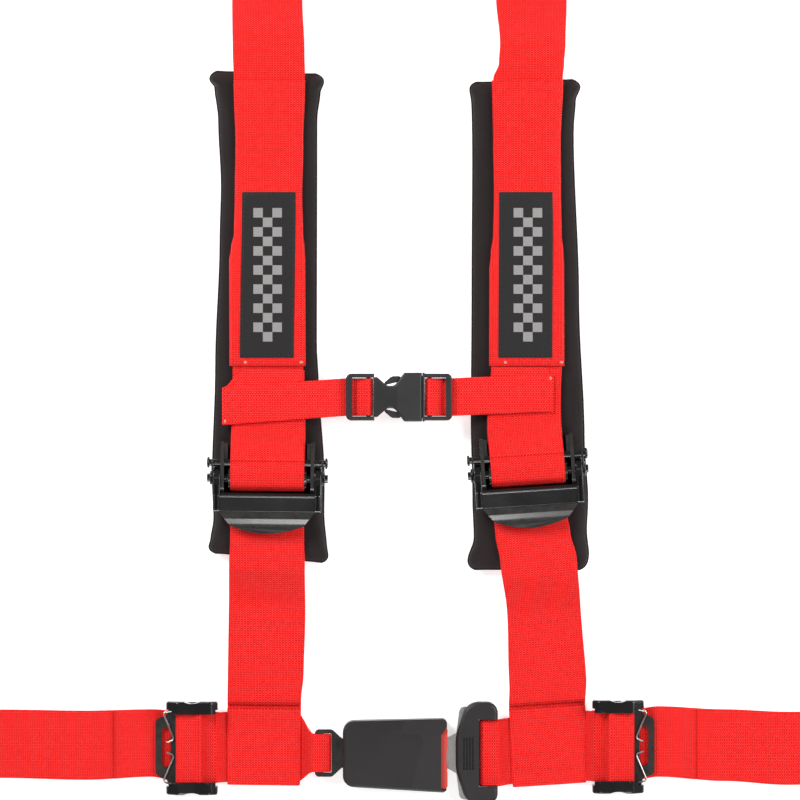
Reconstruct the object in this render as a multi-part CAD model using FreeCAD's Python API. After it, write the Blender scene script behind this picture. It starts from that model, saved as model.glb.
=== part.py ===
"""Four-point racing harness laid flat: webbing, shoulder pads, lever adjusters,
lap slides, push-button latch, sternum clip and bolt-in end brackets.

Millimetres, +Z up.  Plan positions are counted from the middle of the lap belt:
+Y runs up the shoulder straps and +X to the tongue side.  The finished model is
moved so that its origin is the bottom centre of its box.
"""
import FreeCAD, Part
import math
import os

V = FreeCAD.Vector
SIDES = ("left", "right")

# ---- Webbing --------------------------------------------------------------
WEB_WIDTH = 50.5
WEB_THICK = 1.5
HALF_WIDTH = WEB_WIDTH / 2
STERNUM_WEB_WIDTH = 27.0
STERNUM_WEB_THICK = 1.2
LAYER_GAP = 0.4
SLOT_GAP = 0.1
SEWN_OVERLAP = 85.0

# ---- Overall layout -------------------------------------------------------
SHOULDER_X = {"left": -HALF_WIDTH - 69.15, "right": HALF_WIDTH + 65.95}
ADJUSTER_Y = {"left": 190.9, "right": 195.2}
ADJUSTER_TILT_DEG = {"left": -0.7, "right": 3.8}
SHOULDER_END_Y = 850.0
LAP_END_X = 452.0
SLIDE_X = {"left": SHOULDER_X["left"] - HALF_WIDTH - 25.45, "right": SHOULDER_X["right"] + HALF_WIDTH + 35.85}
LAP_SHIFT_Y = {"left": -2.2, "right": -1.2}

# ---- Shoulder pads --------------------------------------------------------
PAD_LENGTH = 352.0
PAD_TOP_WIDTH = 77.0
PAD_BOTTOM_WIDTH = 87.0
PAD_THICK = 14.0
PAD_RAMP = 1.8 * PAD_THICK
PAD_TOP_Y = {"left": 482.0, "right": 476.5}
PAD_CORNER_R = 9.0
PAD_EDGE_R = 5.0
PAD_TRAVEL = 25.0
SLEEVE_TOP_Y = 475.0
SLEEVE_BOTTOM_Y = 271.0
LABEL_WIDTH = 38.5
LABEL_LENGTH = 118.0
LABEL_THICK = 0.6
LABEL_ABOVE_SLEEVE_END = 6.0

# ---- Lever adjusters ------------------------------------------------------
DRUM_R = 7.5
DRUM_HALF = HALF_WIDTH + 2.55
JOURNAL_R = 3.0
RUNNING_FIT = 0.05
WRAP_CLEAR = 0.35
GUIDE_PIN_R = 2.5
GUIDE_PIN_Y = DRUM_R + 3.5
CHEEK_INNER_X = HALF_WIDTH + 5.55
PLATE = 2.5
BASE_PLATE = 2.0
EAR_LENGTH = 15.0
EAR_INNER_X = HALF_WIDTH + 2.95
LEVER_PLATE_X = HALF_WIDTH + 8.35
LEVER_CHANNEL = 4.8
LEVER_WALL = 1.5
LEVER_OUTER_X = LEVER_PLATE_X + LEVER_CHANNEL
LEVER_EYE_R = DRUM_R + 0.9
LEVER_CURL_R = 1.8
PIN_END_X = LEVER_OUTER_X + 4.6
LEVER_FLANGE_END_Y = -24.3
LIP_END_Y = -39.7
STRAP_BAR_Y = -21.5
STRAP_BAR_WIDTH = 6.0
STRAP_SLOT = 6.0
STRAP_SLOT_HALF = HALF_WIDTH + 2.25
SPRING_WIRE_R = 0.6
SPRING_COIL_R = 4.4

# ---- Lap slides -----------------------------------------------------------
SLIDE_OPENING_HALF = HALF_WIDTH + 1.75
SLIDE_HALF = SLIDE_OPENING_HALF + 6.4
SLIDE_CAP_LOW_Y = -14.8
SLIDE_CAP_HIGH_Y = 22.2
SLIDE_CAP_ABOVE_WEB = 3.6
SLIDE_CAP_INNER = HALF_WIDTH - 0.9
SLIDE_CAP_DIP = 1.5
SLIDE_CAP_DIP_R = 13.0
SLIDE_PLATE = 2.0
SLIDE_PLATE_LOW_Y = -12.0
SLIDE_BAR_LOW_Y = 0.5
SLIDE_BAR_WIDTH = 9.0
SLIDE_BAR_THICK = 4.0
SLIDE_BAR_TRAVEL = 4.0
TAB_END_Y = 30.0
TAB_HALF = HALF_WIDTH - 4.75
TAB_SLOT_HALF = TAB_HALF - 6.5
TAB_SLOT_LOW_Y = 19.3
TAB_SLOT_WIDTH = 6.4
SLIDE_SPRING_R = 0.7

# ---- End brackets ---------------------------------------------------------
BRACKET_THICK = 3.0
BRACKET_BAR = 6.0
BRACKET_SLOT = 8.0
BRACKET_SLOT_HALF = HALF_WIDTH + 1.75
BRACKET_HALF = BRACKET_SLOT_HALF + 6.0
BRACKET_BOLT_R = 5.75
BRACKET_BOLT_Y = 36.0
BRACKET_NOSE_R = 15.0

# ---- Latch and tongue -----------------------------------------------------
LATCH_Y = -6.0
LATCH_Z = 8.0
CASING_LEFT_X = -40.8
CASING_RIGHT_X = 33.6
CASING_LEFT_WIDTH = 46.5
CASING_RIGHT_WIDTH = 52.5
CASING_HEIGHT = 20.0
CASING_WALL = 2.0
BUTTON_OUT = 0.4
BUTTON_TRAVEL = 4.0
BUTTON_WIDTH = 44.0
BUTTON_Y = LATCH_Y - 3.0
BUTTON_SHOWN_X = 29.4
ANCHOR_THICK = 3.0
ANCHOR_HALF = 17.0
ANCHOR_SLOT_HALF = 14.0
ANCHOR_LEFT_X = -61.0
ANCHOR_BAR = 6.0
ANCHOR_SLOT = 6.0
ANCHOR_NECK_HALF = 10.5
TONGUE_THICK = 2.5
TONGUE_BLADE_HALF = 11.0
TONGUE_TIP_X = -6.0
COVER_LEFT_X = 39.8
COVER_BODY = 16.7
COVER_RIGHT_X = 70.0
COVER_ARM = 12.6
COVER_SLOT_HALF = HALF_WIDTH - 1.05
COVER_HALF = COVER_SLOT_HALF + COVER_ARM
COVER_THICK = 12.0
TONGUE_BAR = 6.0
TONGUE_END_X = COVER_RIGHT_X - 1.6

# ---- Sternum clip ---------------------------------------------------------
CLIP_Y = 248.8
CLIP_THICK = 10.0
CLIP_LEFT_X = -38.6
CLIP_RIGHT_X = 37.2
CLIP_SEAM_X = 15.7
CLIP_FRAME_HALF = 16.8
CLIP_MOUTH_HALF = 17.5
CLIP_WAIST_HALF = 8.0
CLIP_BAR = 4.5
CLIP_SLOT = 15.0
CLIP_WALL = 2.0
STERNUM_FOLD_X = SHOULDER_X["left"] - HALF_WIDTH - 7.35
STERNUM_SEWN_X = SHOULDER_X["right"] + HALF_WIDTH - 7.45
STERNUM_TILT_DEG = {"left": 4.2, "right": 3.6}

# ---- Levels worked out from the sizes above --------------------------------
HALF_WEB = WEB_THICK / 2
TAIL_Z = PAD_THICK + LAYER_GAP + HALF_WEB
WRAP_R = DRUM_R + WRAP_CLEAR + HALF_WEB
DRUM_Z = TAIL_Z + WRAP_R
MAIN_Z = TAIL_Z + WEB_THICK + LAYER_GAP
STRAP_TOP_Z = MAIN_Z + HALF_WEB
CLIP_Z = STRAP_TOP_Z + 0.6
GUIDE_PIN_Z = DRUM_Z + WRAP_R - HALF_WEB - WRAP_CLEAR - GUIDE_PIN_R
STRAP_BAR_Z = PAD_THICK + LAYER_GAP + WEB_THICK + LAYER_GAP + WRAP_CLEAR + BASE_PLATE / 2
LOOP_R = math.hypot(BRACKET_BAR, BRACKET_THICK) / 2 + 0.3 + HALF_WEB
BRACKET_Z = HALF_WEB + LOOP_R
JUNCTION_LAP_Z = WEB_THICK + LAYER_GAP + HALF_WEB
JUNCTION_TOP_Z = JUNCTION_LAP_Z + WEB_THICK + LAYER_GAP


# ---- Shape helpers ---------------------------------------------------------
def block(x0, x1, y0, y1, z0, z1):
    """Box between two corners."""
    return Part.makeBox(x1 - x0, y1 - y0, z1 - z0, V(x0, y0, z0))


def rod(start, end, radius):
    """Round rod between two points."""
    direction = end.sub(start)
    return Part.makeCylinder(radius, direction.Length, start, direction)


def cross_rod(half, y, z, radius):
    """Round rod across the strap, the same length each side of its middle."""
    return rod(V(-half, y, z), V(half, y, z), radius)


def corner(before, point, after, radius):
    """Tangent points and arc middle of one rounded corner of a flat path."""
    into = point.sub(before).normalize()
    out = after.sub(point).normalize()
    turn = into.getAngle(out)
    if radius < 1e-6 or turn < 1e-4:
        return None
    reach = radius * math.tan(turn / 2)
    start = point.sub(V(into).multiply(reach))
    end = point.add(V(out).multiply(reach))
    inward = V(out).sub(into).normalize()
    middle = point.add(V(inward).multiply(radius / math.cos(turn / 2) - radius))
    return start, middle, end


def joined(edges):
    """One wire from edges listed in order."""
    return Part.Wire(Part.__sortEdges__(edges))


def outline_wire(points, radii):
    """Closed wire through 3-D points in one plane, each corner rounded."""
    count = len(points)
    corners = [corner(points[i - 1], points[i], points[(i + 1) % count], radii[i])
               for i in range(count)]
    edges = []
    for i in range(count):
        here, after = corners[i], corners[(i + 1) % count]
        if here:
            edges.append(Part.Arc(*here).toShape())
        start = here[2] if here else points[i]
        end = after[0] if after else points[(i + 1) % count]
        if start.distanceToPoint(end) > 1e-6:
            edges.append(Part.makeLine(start, end))
    return joined(edges)


def plan_prism(points, z0, z1, radius=0.0, radii=None):
    """Rounded outline in plan, extruded upwards."""
    corners = radii or [radius] * len(points)
    wire = outline_wire([V(x, y, z0) for x, y in points], corners)
    return Part.Face(wire).extrude(V(0, 0, z1 - z0))


def side_prism(points, x0, x1, radius=0.0, radii=None):
    """Rounded outline seen from the side (y, z), extruded across the strap."""
    corners = radii or [radius] * len(points)
    wire = outline_wire([V(x0, y, z) for y, z in points], corners)
    return Part.Face(wire).extrude(V(x1 - x0, 0, 0))


def front_prism(points, y0, y1, radius=0.0, radii=None):
    """Rounded outline seen from the front (x, z), extruded along Y."""
    corners = radii or [radius] * len(points)
    wire = outline_wire([V(x, y0, z) for x, z in points], corners)
    return Part.Face(wire).extrude(V(0, y1 - y0, 0))


def offset_side(path, radii, distance):
    """Edges of a side-view path moved sideways by a distance, corners kept as arcs."""
    points = [V(0, y, z) for y, z in path]
    edges = []
    start = None
    for i, point in enumerate(points):
        ahead = points[i + 1].sub(point).normalize() if i + 1 < len(points) else None
        behind = point.sub(points[i - 1]).normalize() if i else ahead
        ahead = ahead or behind
        normal_in = V(0, -behind.z, behind.y).multiply(distance)
        normal_out = V(0, -ahead.z, ahead.y).multiply(distance)
        rounded = corner(points[i - 1], point, points[i + 1], radii[i]) \
            if 0 < i < len(points) - 1 else None
        if rounded is None:
            end = point.add(normal_in)
            if start is not None:
                edges.append(Part.makeLine(start, end))
            start = point.add(normal_out)
            continue
        arc_start = rounded[0].add(normal_in)
        arc_end = rounded[2].add(normal_out)
        bisector = normal_in.add(normal_out).normalize().multiply(abs(distance))
        if start.distanceToPoint(arc_start) > 1e-6:
            edges.append(Part.makeLine(start, arc_start))
        edges.append(Part.Arc(arc_start, rounded[1].add(bisector), arc_end).toShape())
        start = arc_end
    return edges


def ribbon(path, radii, thickness, width):
    """Flat strap following a side-view path of (y, z) points, corners rounded."""
    upper = offset_side(path, radii, thickness / 2)
    lower = offset_side(path, radii, -thickness / 2)
    ends = []
    for index in (0, -1):
        vertex = -1 if index else 0
        a = upper[index].Vertexes[vertex].Point
        b = lower[index].Vertexes[vertex].Point
        ends.append(Part.makeLine(a, b))
    face = Part.Face(joined(upper + lower + ends))
    return face.extrude(V(width, 0, 0)).translated(V(-width / 2, 0, 0))


def turned(shape, degrees, about=V(0, 0, 0), axis=V(0, 0, 1)):
    """Copy of a shape turned about an axis."""
    copy = shape.copy()
    copy.rotate(about, axis, degrees)
    return copy


def both_sides(shape):
    """A shape joined to its mirror image across the strap's middle."""
    return shape.fuse(shape.mirror(V(0, 0, 0), V(1, 0, 0)))


def pair(shape):
    """A shape and its mirror image as separate solids in one group."""
    return Part.makeCompound([shape, shape.mirror(V(0, 0, 0), V(1, 0, 0))])


def softened(shape, radius, picks):
    """Round the edges that a test picks out."""
    edges = [edge for edge in shape.Edges if picks(edge)]
    return shape.makeFillet(radius, edges) if edges else shape


def at_height(edge, z):
    """True when every end of an edge lies at one height."""
    return all(abs(vertex.Point.z - z) < 1e-4 for vertex in edge.Vertexes)


def placed(shape, x, y, degrees=0.0):
    """Copy turned about Z and moved to a plan position."""
    return turned(shape, degrees).translated(V(x, y, 0))


# ---- End brackets and the loops that hold them ------------------------------
def end_loop(bar_y, sewn=SEWN_OVERLAP):
    """Side-view points of a strap end: under the bracket bar, round it and back."""
    top = HALF_WEB + 2 * LOOP_R
    sewn_z = WEB_THICK + 0.1 + HALF_WEB
    points = [
        (bar_y + LOOP_R, HALF_WEB),
        (bar_y + LOOP_R, top),
        (bar_y - LOOP_R - 2.0, top),
        (bar_y - 24.0, sewn_z),
        (bar_y - sewn, sewn_z),
    ]
    return points, [LOOP_R, LOOP_R, 5.0, 12.0, 0.0]


def end_bracket():
    """Steel bolt-in bracket, slot bar on the origin, bolt end towards +Y."""
    low = BRACKET_THICK / 2
    slot_far = BRACKET_BAR / 2 + BRACKET_SLOT
    nose_y = BRACKET_BOLT_Y + BRACKET_NOSE_R
    side = ribbon(
        [(-BRACKET_BAR / 2, BRACKET_Z), (slot_far + 3.0, BRACKET_Z),
         (slot_far + 10.0, low), (nose_y, low)],
        [0.0, 4.0, 4.0, 0.0], BRACKET_THICK, 2 * BRACKET_HALF)
    outline = plan_prism(
        [(-BRACKET_HALF, -BRACKET_BAR / 2), (BRACKET_HALF, -BRACKET_BAR / 2),
         (BRACKET_HALF, slot_far + 3.0), (BRACKET_NOSE_R, nose_y),
         (-BRACKET_NOSE_R, nose_y), (-BRACKET_HALF, slot_far + 3.0)],
        -1.0, 2 * BRACKET_Z, radii=[3.0, 3.0, 8.0, 12.0, 12.0, 8.0])
    slot = plan_prism(
        [(-BRACKET_SLOT_HALF, BRACKET_BAR / 2), (BRACKET_SLOT_HALF, BRACKET_BAR / 2),
         (BRACKET_SLOT_HALF, slot_far), (-BRACKET_SLOT_HALF, slot_far)],
        -1.0, 2 * BRACKET_Z, radius=2.5)
    hole = rod(V(0, BRACKET_BOLT_Y, -1), V(0, BRACKET_BOLT_Y, BRACKET_THICK + 1), BRACKET_BOLT_R)
    return side.common(outline).cut(slot).cut(hole)


# ---- Shoulder straps, pads and sleeves --------------------------------------
def upper_strap(side):
    """Adjustable shoulder web: tail, wrap round the drum, run over the pad, end loop."""
    above = ADJUSTER_Y[side]
    flat_end = PAD_TOP_Y[side] + PAD_TRAVEL + 3.0 - above
    top_z = DRUM_Z + WRAP_R
    tail = [(60.0, TAIL_Z), (-WRAP_R, TAIL_Z), (-WRAP_R, top_z), (GUIDE_PIN_Y + 1.0, top_z)]
    joint_y = 40.0
    wrap = ribbon(tail + [(34.0, MAIN_Z), (joint_y, MAIN_Z)],
                  [0.0, WRAP_R, WRAP_R, 4.0, 6.0, 0.0], WEB_THICK, WEB_WIDTH)
    loop, loop_radii = end_loop(SHOULDER_END_Y - above)
    run = ribbon([(joint_y - 3.0, MAIN_Z), (flat_end, MAIN_Z), (flat_end + 32.0, HALF_WEB)] + loop,
                 [0.0, 20.0, 20.0] + loop_radii, WEB_THICK, WEB_WIDTH)
    return turned(wrap, ADJUSTER_TILT_DEG[side]).fuse(run).removeSplitter()


def pad(side):
    """Padded cushion under the shoulder web, a little wider at its lower end."""
    top = PAD_TOP_Y[side]
    bottom = top - PAD_LENGTH
    points = [(-PAD_BOTTOM_WIDTH / 2, bottom), (PAD_BOTTOM_WIDTH / 2, bottom),
              (PAD_TOP_WIDTH / 2, top), (-PAD_TOP_WIDTH / 2, top)]
    solid = plan_prism(points, 0.0, PAD_THICK, radius=PAD_CORNER_R)
    rims = softened(solid, PAD_EDGE_R, lambda edge: at_height(edge, PAD_THICK) or at_height(edge, 0))
    return rims.translated(V(SHOULDER_X[side], 0, 0))


def pad_sleeve(side):
    """Flat web tunnel over the shoulder strap, turned down onto the pad at both edges."""
    low = STRAP_TOP_Z + LAYER_GAP
    high = low + WEB_THICK
    inner = WEB_WIDTH / 2 + LAYER_GAP
    outer = inner + WEB_THICK
    skin = front_prism([(-outer, PAD_THICK), (-inner, PAD_THICK), (-inner, low), (inner, low),
                        (inner, PAD_THICK), (outer, PAD_THICK), (outer, high), (-outer, high)],
                       SLEEVE_BOTTOM_Y, SLEEVE_TOP_Y, radii=[0, 0, 0, 0, 0, 0, 1.0, 1.0])
    return skin.translated(V(SHOULDER_X[side], 0, 0))


def label(side):
    """Woven patch sewn on the sleeve."""
    low = STRAP_TOP_Z + LAYER_GAP + WEB_THICK
    bottom = SLEEVE_BOTTOM_Y + LABEL_ABOVE_SLEEVE_END
    patch = block(-LABEL_WIDTH / 2, LABEL_WIDTH / 2, bottom, bottom + LABEL_LENGTH,
                  low, low + LABEL_THICK)
    return patch.translated(V(SHOULDER_X[side], 0, 0))


def lower_strap(side):
    """Lower web: sewn loop on the adjuster bar, run down and wrap round the lap belt."""
    wrap_r = BASE_PLATE / 2 + WRAP_CLEAR + HALF_WEB
    back_z = STRAP_BAR_Z - wrap_r
    front_z = back_z + WEB_THICK + 0.3
    pad_end = PAD_TOP_Y[side] - PAD_LENGTH - 2.0 - ADJUSTER_Y[side]
    ramp_end = pad_end - 2.0 - PAD_RAMP
    bar_low = STRAP_BAR_Y - STRAP_BAR_WIDTH / 2
    slant = HALF_WIDTH * abs(math.tan(math.radians(ADJUSTER_TILT_DEG[side])))
    lap_low = LAP_SHIFT_Y[side] - HALF_WIDTH - slant - 1.3 - ADJUSTER_Y[side]
    lap_high = HALF_WIDTH - ADJUSTER_Y[side]
    turn_r = (JUNCTION_TOP_Z - HALF_WEB) / 2
    bar_high = STRAP_BAR_Y + STRAP_BAR_WIDTH / 2 + wrap_r - 0.4 * BASE_PLATE
    floor_front = HALF_WEB + WEB_THICK + 0.3
    path = [
        (lap_high + 3.0, floor_front),
        (ramp_end, floor_front),
        (pad_end - 2.0, front_z),
        (bar_low - 10.0, front_z),
        (bar_low - 3.0, STRAP_BAR_Z + wrap_r),
        (bar_high, STRAP_BAR_Z + wrap_r),
        (bar_high, back_z),
        (pad_end - 2.0, back_z),
        (ramp_end, HALF_WEB),
        (lap_low, HALF_WEB),
        (lap_low, JUNCTION_TOP_Z),
        (lap_high, JUNCTION_TOP_Z),
    ]
    radii = [0.0, 14.0, 14.0, 3.0, 3.0, wrap_r, wrap_r, 14.0, 14.0, turn_r, turn_r, 0.0]
    return ribbon(path, radii, WEB_THICK, WEB_WIDTH)


# ---- Lever adjusters --------------------------------------------------------
def adjuster_frame():
    """Steel cheeks tied by a base plate whose slot bar holds the lower strap."""
    crest = GUIDE_PIN_Z + GUIDE_PIN_R + 0.8
    far = GUIDE_PIN_Y + EAR_LENGTH
    low_y = STRAP_BAR_Y - STRAP_BAR_WIDTH / 2
    cheek_outline = [(far, PAD_THICK + LAYER_GAP), (far, crest - 2.3), (GUIDE_PIN_Y - 1.5, crest),
                     (-8.0, crest - 1.8), (low_y, STRAP_BAR_Z + 2.0), (low_y, STRAP_BAR_Z - 1.0),
                     (low_y + 8.0, PAD_THICK + LAYER_GAP)]
    cheek = side_prism(cheek_outline, CHEEK_INNER_X, CHEEK_INNER_X + PLATE,
                       radii=[3.0, 2.0, 6.0, 6.0, 2.0, 0.8, 4.0])
    ear_z = crest - 2.3
    ear = block(EAR_INNER_X, CHEEK_INNER_X + 0.5, GUIDE_PIN_Y, far - 1.0, ear_z - 1.8, ear_z)
    slot_low = STRAP_BAR_Y + STRAP_BAR_WIDTH / 2
    base = block(0, CHEEK_INNER_X + 0.5, low_y, slot_low + STRAP_SLOT + 2.0,
                 STRAP_BAR_Z - BASE_PLATE / 2, STRAP_BAR_Z + BASE_PLATE / 2)
    one_side = cheek.fuse(ear).fuse(base)
    half = STRAP_SLOT_HALF
    slot = plan_prism([(-half, slot_low), (half, slot_low), (half, slot_low + STRAP_SLOT),
                       (-half, slot_low + STRAP_SLOT)], 0.0, 2 * STRAP_BAR_Z, radius=2.0)
    drum_hole = cross_rod(PIN_END_X, 0, DRUM_Z, JOURNAL_R + RUNNING_FIT)
    pin_hole = cross_rod(PIN_END_X, GUIDE_PIN_Y, GUIDE_PIN_Z, GUIDE_PIN_R)
    return both_sides(one_side).removeSplitter().cut(slot).cut(drum_hole).cut(pin_hole)


def guide_pin():
    """Pin across the cheeks that the web bends over."""
    pin = cross_rod(PIN_END_X, GUIDE_PIN_Y, GUIDE_PIN_Z, GUIDE_PIN_R)
    groove_x = PIN_END_X - 1.0
    ring = Part.makeTorus(GUIDE_PIN_R + 0.6, 0.8, V(groove_x, GUIDE_PIN_Y, GUIDE_PIN_Z), V(1, 0, 0))
    return pin.fuse(both_sides(ring))


def drum():
    """Web drum with shallow grip flutes, turning with the lever on its journals."""
    body = cross_rod(DRUM_HALF, 0, DRUM_Z, DRUM_R)
    flute_count = 12
    for index in range(flute_count):
        angle = 2 * math.pi * index / flute_count
        y = DRUM_R * math.cos(angle)
        z = DRUM_Z + DRUM_R * math.sin(angle)
        body = body.cut(cross_rod(DRUM_HALF, y, z, 0.7))
    return body.fuse(cross_rod(PIN_END_X, 0, DRUM_Z, JOURNAL_R))


def lever():
    """Release lever: channelled side flanges, pressed plate with a curled edge, thumb lip."""
    eye_r = LEVER_EYE_R
    flange = side_prism(
        [(eye_r, DRUM_Z + eye_r), (eye_r, DRUM_Z - eye_r), (-eye_r, DRUM_Z - eye_r),
         (LEVER_FLANGE_END_Y, STRAP_BAR_Z + 2.5), (LEVER_FLANGE_END_Y, DRUM_Z + 5.0),
         (-12.0, DRUM_Z + eye_r + 1.1)],
        LEVER_PLATE_X, LEVER_OUTER_X, radii=[eye_r - 0.2, eye_r - 0.2, eye_r - 0.4, 3.5, 3.0, 3.0])
    flange = softened(flange, 0.5, lambda edge: edge.Length > 3.0
                      and abs(edge.Vertexes[0].Point.x - edge.Vertexes[-1].Point.x) < 1e-4)
    inner, outer = LEVER_PLATE_X + LEVER_WALL, LEVER_OUTER_X - LEVER_WALL
    low = LEVER_FLANGE_END_Y + 1.2
    channel = plan_prism(
        [(inner, low), (outer, low), (outer, -JOURNAL_R - 1.5), (inner, -JOURNAL_R - 1.5)],
        DRUM_Z - 1.0, DRUM_Z + 30.0, radius=0.8)
    return both_sides(flange.cut(channel)).fuse(lever_plate()).removeSplitter().cut(
        cross_rod(PIN_END_X, 0, DRUM_Z, JOURNAL_R))


def lever_plate():
    """Pressed plate between the flanges: curled edge, step and curved thumb lip."""
    curl_y, curl_z = -DRUM_R - 4.7, DRUM_Z + DRUM_R - 0.1
    plate = ribbon(
        [(curl_y, curl_z), (LEVER_FLANGE_END_Y + 0.3, DRUM_Z + 2.9), (-27.5, DRUM_Z + 4.8),
         (-33.0, DRUM_Z + 3.4), (LIP_END_Y, DRUM_Z - 0.4)],
        [0.0, 2.5, 3.0, 12.0, 0.0], PLATE, 2 * LEVER_OUTER_X)
    inner = LEVER_PLATE_X + 0.4
    lip_half = LEVER_PLATE_X - 7.6
    outline = plan_prism(
        [(-inner, 0.0), (-inner, LEVER_FLANGE_END_Y), (-lip_half, -34.2), (0, LIP_END_Y - 2.6),
         (lip_half, -34.2), (inner, LEVER_FLANGE_END_Y), (inner, 0.0)],
        0.0, 3 * DRUM_Z, radii=[0, 2.0, 6.0, 60.0, 6.0, 2.0, 0])
    return plate.common(outline).fuse(cross_rod(inner, curl_y, curl_z, LEVER_CURL_R))


def lever_springs():
    """Torsion spring outside each flange, one leg hooked over the guide pin."""
    coil_x = LEVER_OUTER_X + SPRING_WIRE_R + 0.2
    turns = [Part.makeTorus(SPRING_COIL_R, SPRING_WIRE_R, V(coil_x + 1.1 * index, 0, DRUM_Z), V(1, 0, 0))
             for index in range(2)]
    leg_z = GUIDE_PIN_Z + GUIDE_PIN_R + SPRING_WIRE_R + 0.6
    leg = rod(V(coil_x, -1.0, DRUM_Z + SPRING_COIL_R - 0.1), V(coil_x, GUIDE_PIN_Y + 1.0, leg_z),
              SPRING_WIRE_R)
    coil = turns[0].fuse(turns[1]).fuse(leg)
    return pair(coil)


# ---- Lap belts and slides ---------------------------------------------------
SLIDE_PLATE_Z = 2 * WEB_THICK + 0.1 + LAYER_GAP
OUTER_WRAP_R = (SLIDE_PLATE_Z + SLIDE_PLATE + LAYER_GAP) / 2
OUTER_TOP_Z = HALF_WEB + 2 * OUTER_WRAP_R
SLIDE_TAIL_Z = OUTER_TOP_Z + WEB_THICK + LAYER_GAP
SLIDE_BAR_Z = SLIDE_TAIL_Z + HALF_WEB + LAYER_GAP + SLIDE_BAR_THICK / 2
SLIDE_WEB_Z = SLIDE_BAR_Z + SLIDE_BAR_THICK / 2 + LAYER_GAP + HALF_WEB
SLIDE_WRAP_Y = SLIDE_BAR_LOW_Y + SLIDE_BAR_WIDTH + SLIDE_BAR_TRAVEL + LAYER_GAP + HALF_WEB
SLIDE_CAP_HEIGHT = SLIDE_WEB_Z + SLIDE_CAP_ABOVE_WEB


def slide_frame():
    """Slide adjuster body: plate with web slots and pull tab, and a rounded cap each side."""
    plate_top = SLIDE_PLATE_Z + SLIDE_PLATE
    plate = plan_prism(
        [(-SLIDE_HALF + 1.0, SLIDE_PLATE_LOW_Y), (SLIDE_HALF - 1.0, SLIDE_PLATE_LOW_Y),
         (SLIDE_HALF - 1.0, SLIDE_CAP_HIGH_Y - 3.0), (TAB_HALF + 2.0, SLIDE_CAP_HIGH_Y),
         (TAB_HALF, TAB_END_Y), (-TAB_HALF, TAB_END_Y), (-TAB_HALF - 2.0, SLIDE_CAP_HIGH_Y),
         (-SLIDE_HALF + 1.0, SLIDE_CAP_HIGH_Y - 3.0)],
        SLIDE_PLATE_Z, plate_top, radii=[1.5, 1.5, 3.0, 2.0, 4.5, 4.5, 2.0, 3.0])
    web_slot = plan_prism(
        [(-SLIDE_OPENING_HALF, SLIDE_PLATE_LOW_Y + 4.5), (SLIDE_OPENING_HALF, SLIDE_PLATE_LOW_Y + 4.5),
         (SLIDE_OPENING_HALF, SLIDE_PLATE_LOW_Y + 15.5), (-SLIDE_OPENING_HALF, SLIDE_PLATE_LOW_Y + 15.5)],
        SLIDE_PLATE_Z - 1, plate_top + 1, radius=1.5)
    tab_slot = plan_prism(
        [(-TAB_SLOT_HALF, TAB_SLOT_LOW_Y), (TAB_SLOT_HALF, TAB_SLOT_LOW_Y),
         (TAB_SLOT_HALF, TAB_SLOT_LOW_Y + TAB_SLOT_WIDTH),
         (-TAB_SLOT_HALF, TAB_SLOT_LOW_Y + TAB_SLOT_WIDTH)],
        SLIDE_PLATE_Z - 1, plate_top + 1, radius=3.0)
    cap_points = [(SLIDE_CAP_LOW_Y, SLIDE_PLATE_Z), (SLIDE_CAP_HIGH_Y, SLIDE_PLATE_Z),
                  (SLIDE_CAP_HIGH_Y, SLIDE_CAP_HEIGHT - 5.0), (14.0, SLIDE_CAP_HEIGHT),
                  (2.0, SLIDE_CAP_HEIGHT - 1.2), (-10.0, SLIDE_CAP_HEIGHT),
                  (SLIDE_CAP_LOW_Y, SLIDE_CAP_HEIGHT - 3.5)]
    cap = side_prism(cap_points, SLIDE_CAP_INNER, SLIDE_HALF, radii=[1.0, 1.0, 3.0, 4.0, 20.0, 4.0, 2.0])
    web_room = block(0, SLIDE_OPENING_HALF + 0.4, -50, 50, 0, SLIDE_WEB_Z + HALF_WEB + 0.4)
    cap = cap.cut(web_room)
    cap = softened(cap, 1.6, lambda edge: all(abs(v.Point.x - SLIDE_HALF) < 1e-4 for v in edge.Vertexes))
    dip_x = SLIDE_HALF - SLIDE_CAP_DIP + SLIDE_CAP_DIP_R
    dip_y = (SLIDE_CAP_LOW_Y + SLIDE_CAP_HIGH_Y) / 2
    cap = cap.cut(rod(V(dip_x, dip_y, 0), V(dip_x, dip_y, 2 * SLIDE_CAP_HEIGHT), SLIDE_CAP_DIP_R))
    track = block(SLIDE_OPENING_HALF - 1, SLIDE_HALF - 2.0, SLIDE_BAR_LOW_Y - 0.3,
                  SLIDE_BAR_LOW_Y + SLIDE_BAR_WIDTH + SLIDE_BAR_TRAVEL + 0.3,
                  SLIDE_BAR_Z - SLIDE_BAR_THICK / 2 - 0.3, SLIDE_BAR_Z + SLIDE_BAR_THICK / 2 + 0.3)
    body = both_sides(cap.cut(track)).fuse(plate).removeSplitter()
    return body.cut(web_slot).cut(tab_slot)


def slide_bar():
    """Grip bar that slides in the caps; its long edges are rounded."""
    low, high = SLIDE_BAR_LOW_Y, SLIDE_BAR_LOW_Y + SLIDE_BAR_WIDTH
    z0, z1 = SLIDE_BAR_Z - SLIDE_BAR_THICK / 2, SLIDE_BAR_Z + SLIDE_BAR_THICK / 2
    half = SLIDE_HALF - 2.3
    return side_prism([(low, z0), (high, z0), (high, z1), (low, z1)], -half, half,
                      radii=[1.2, 1.9, 1.9, 1.2])


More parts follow.
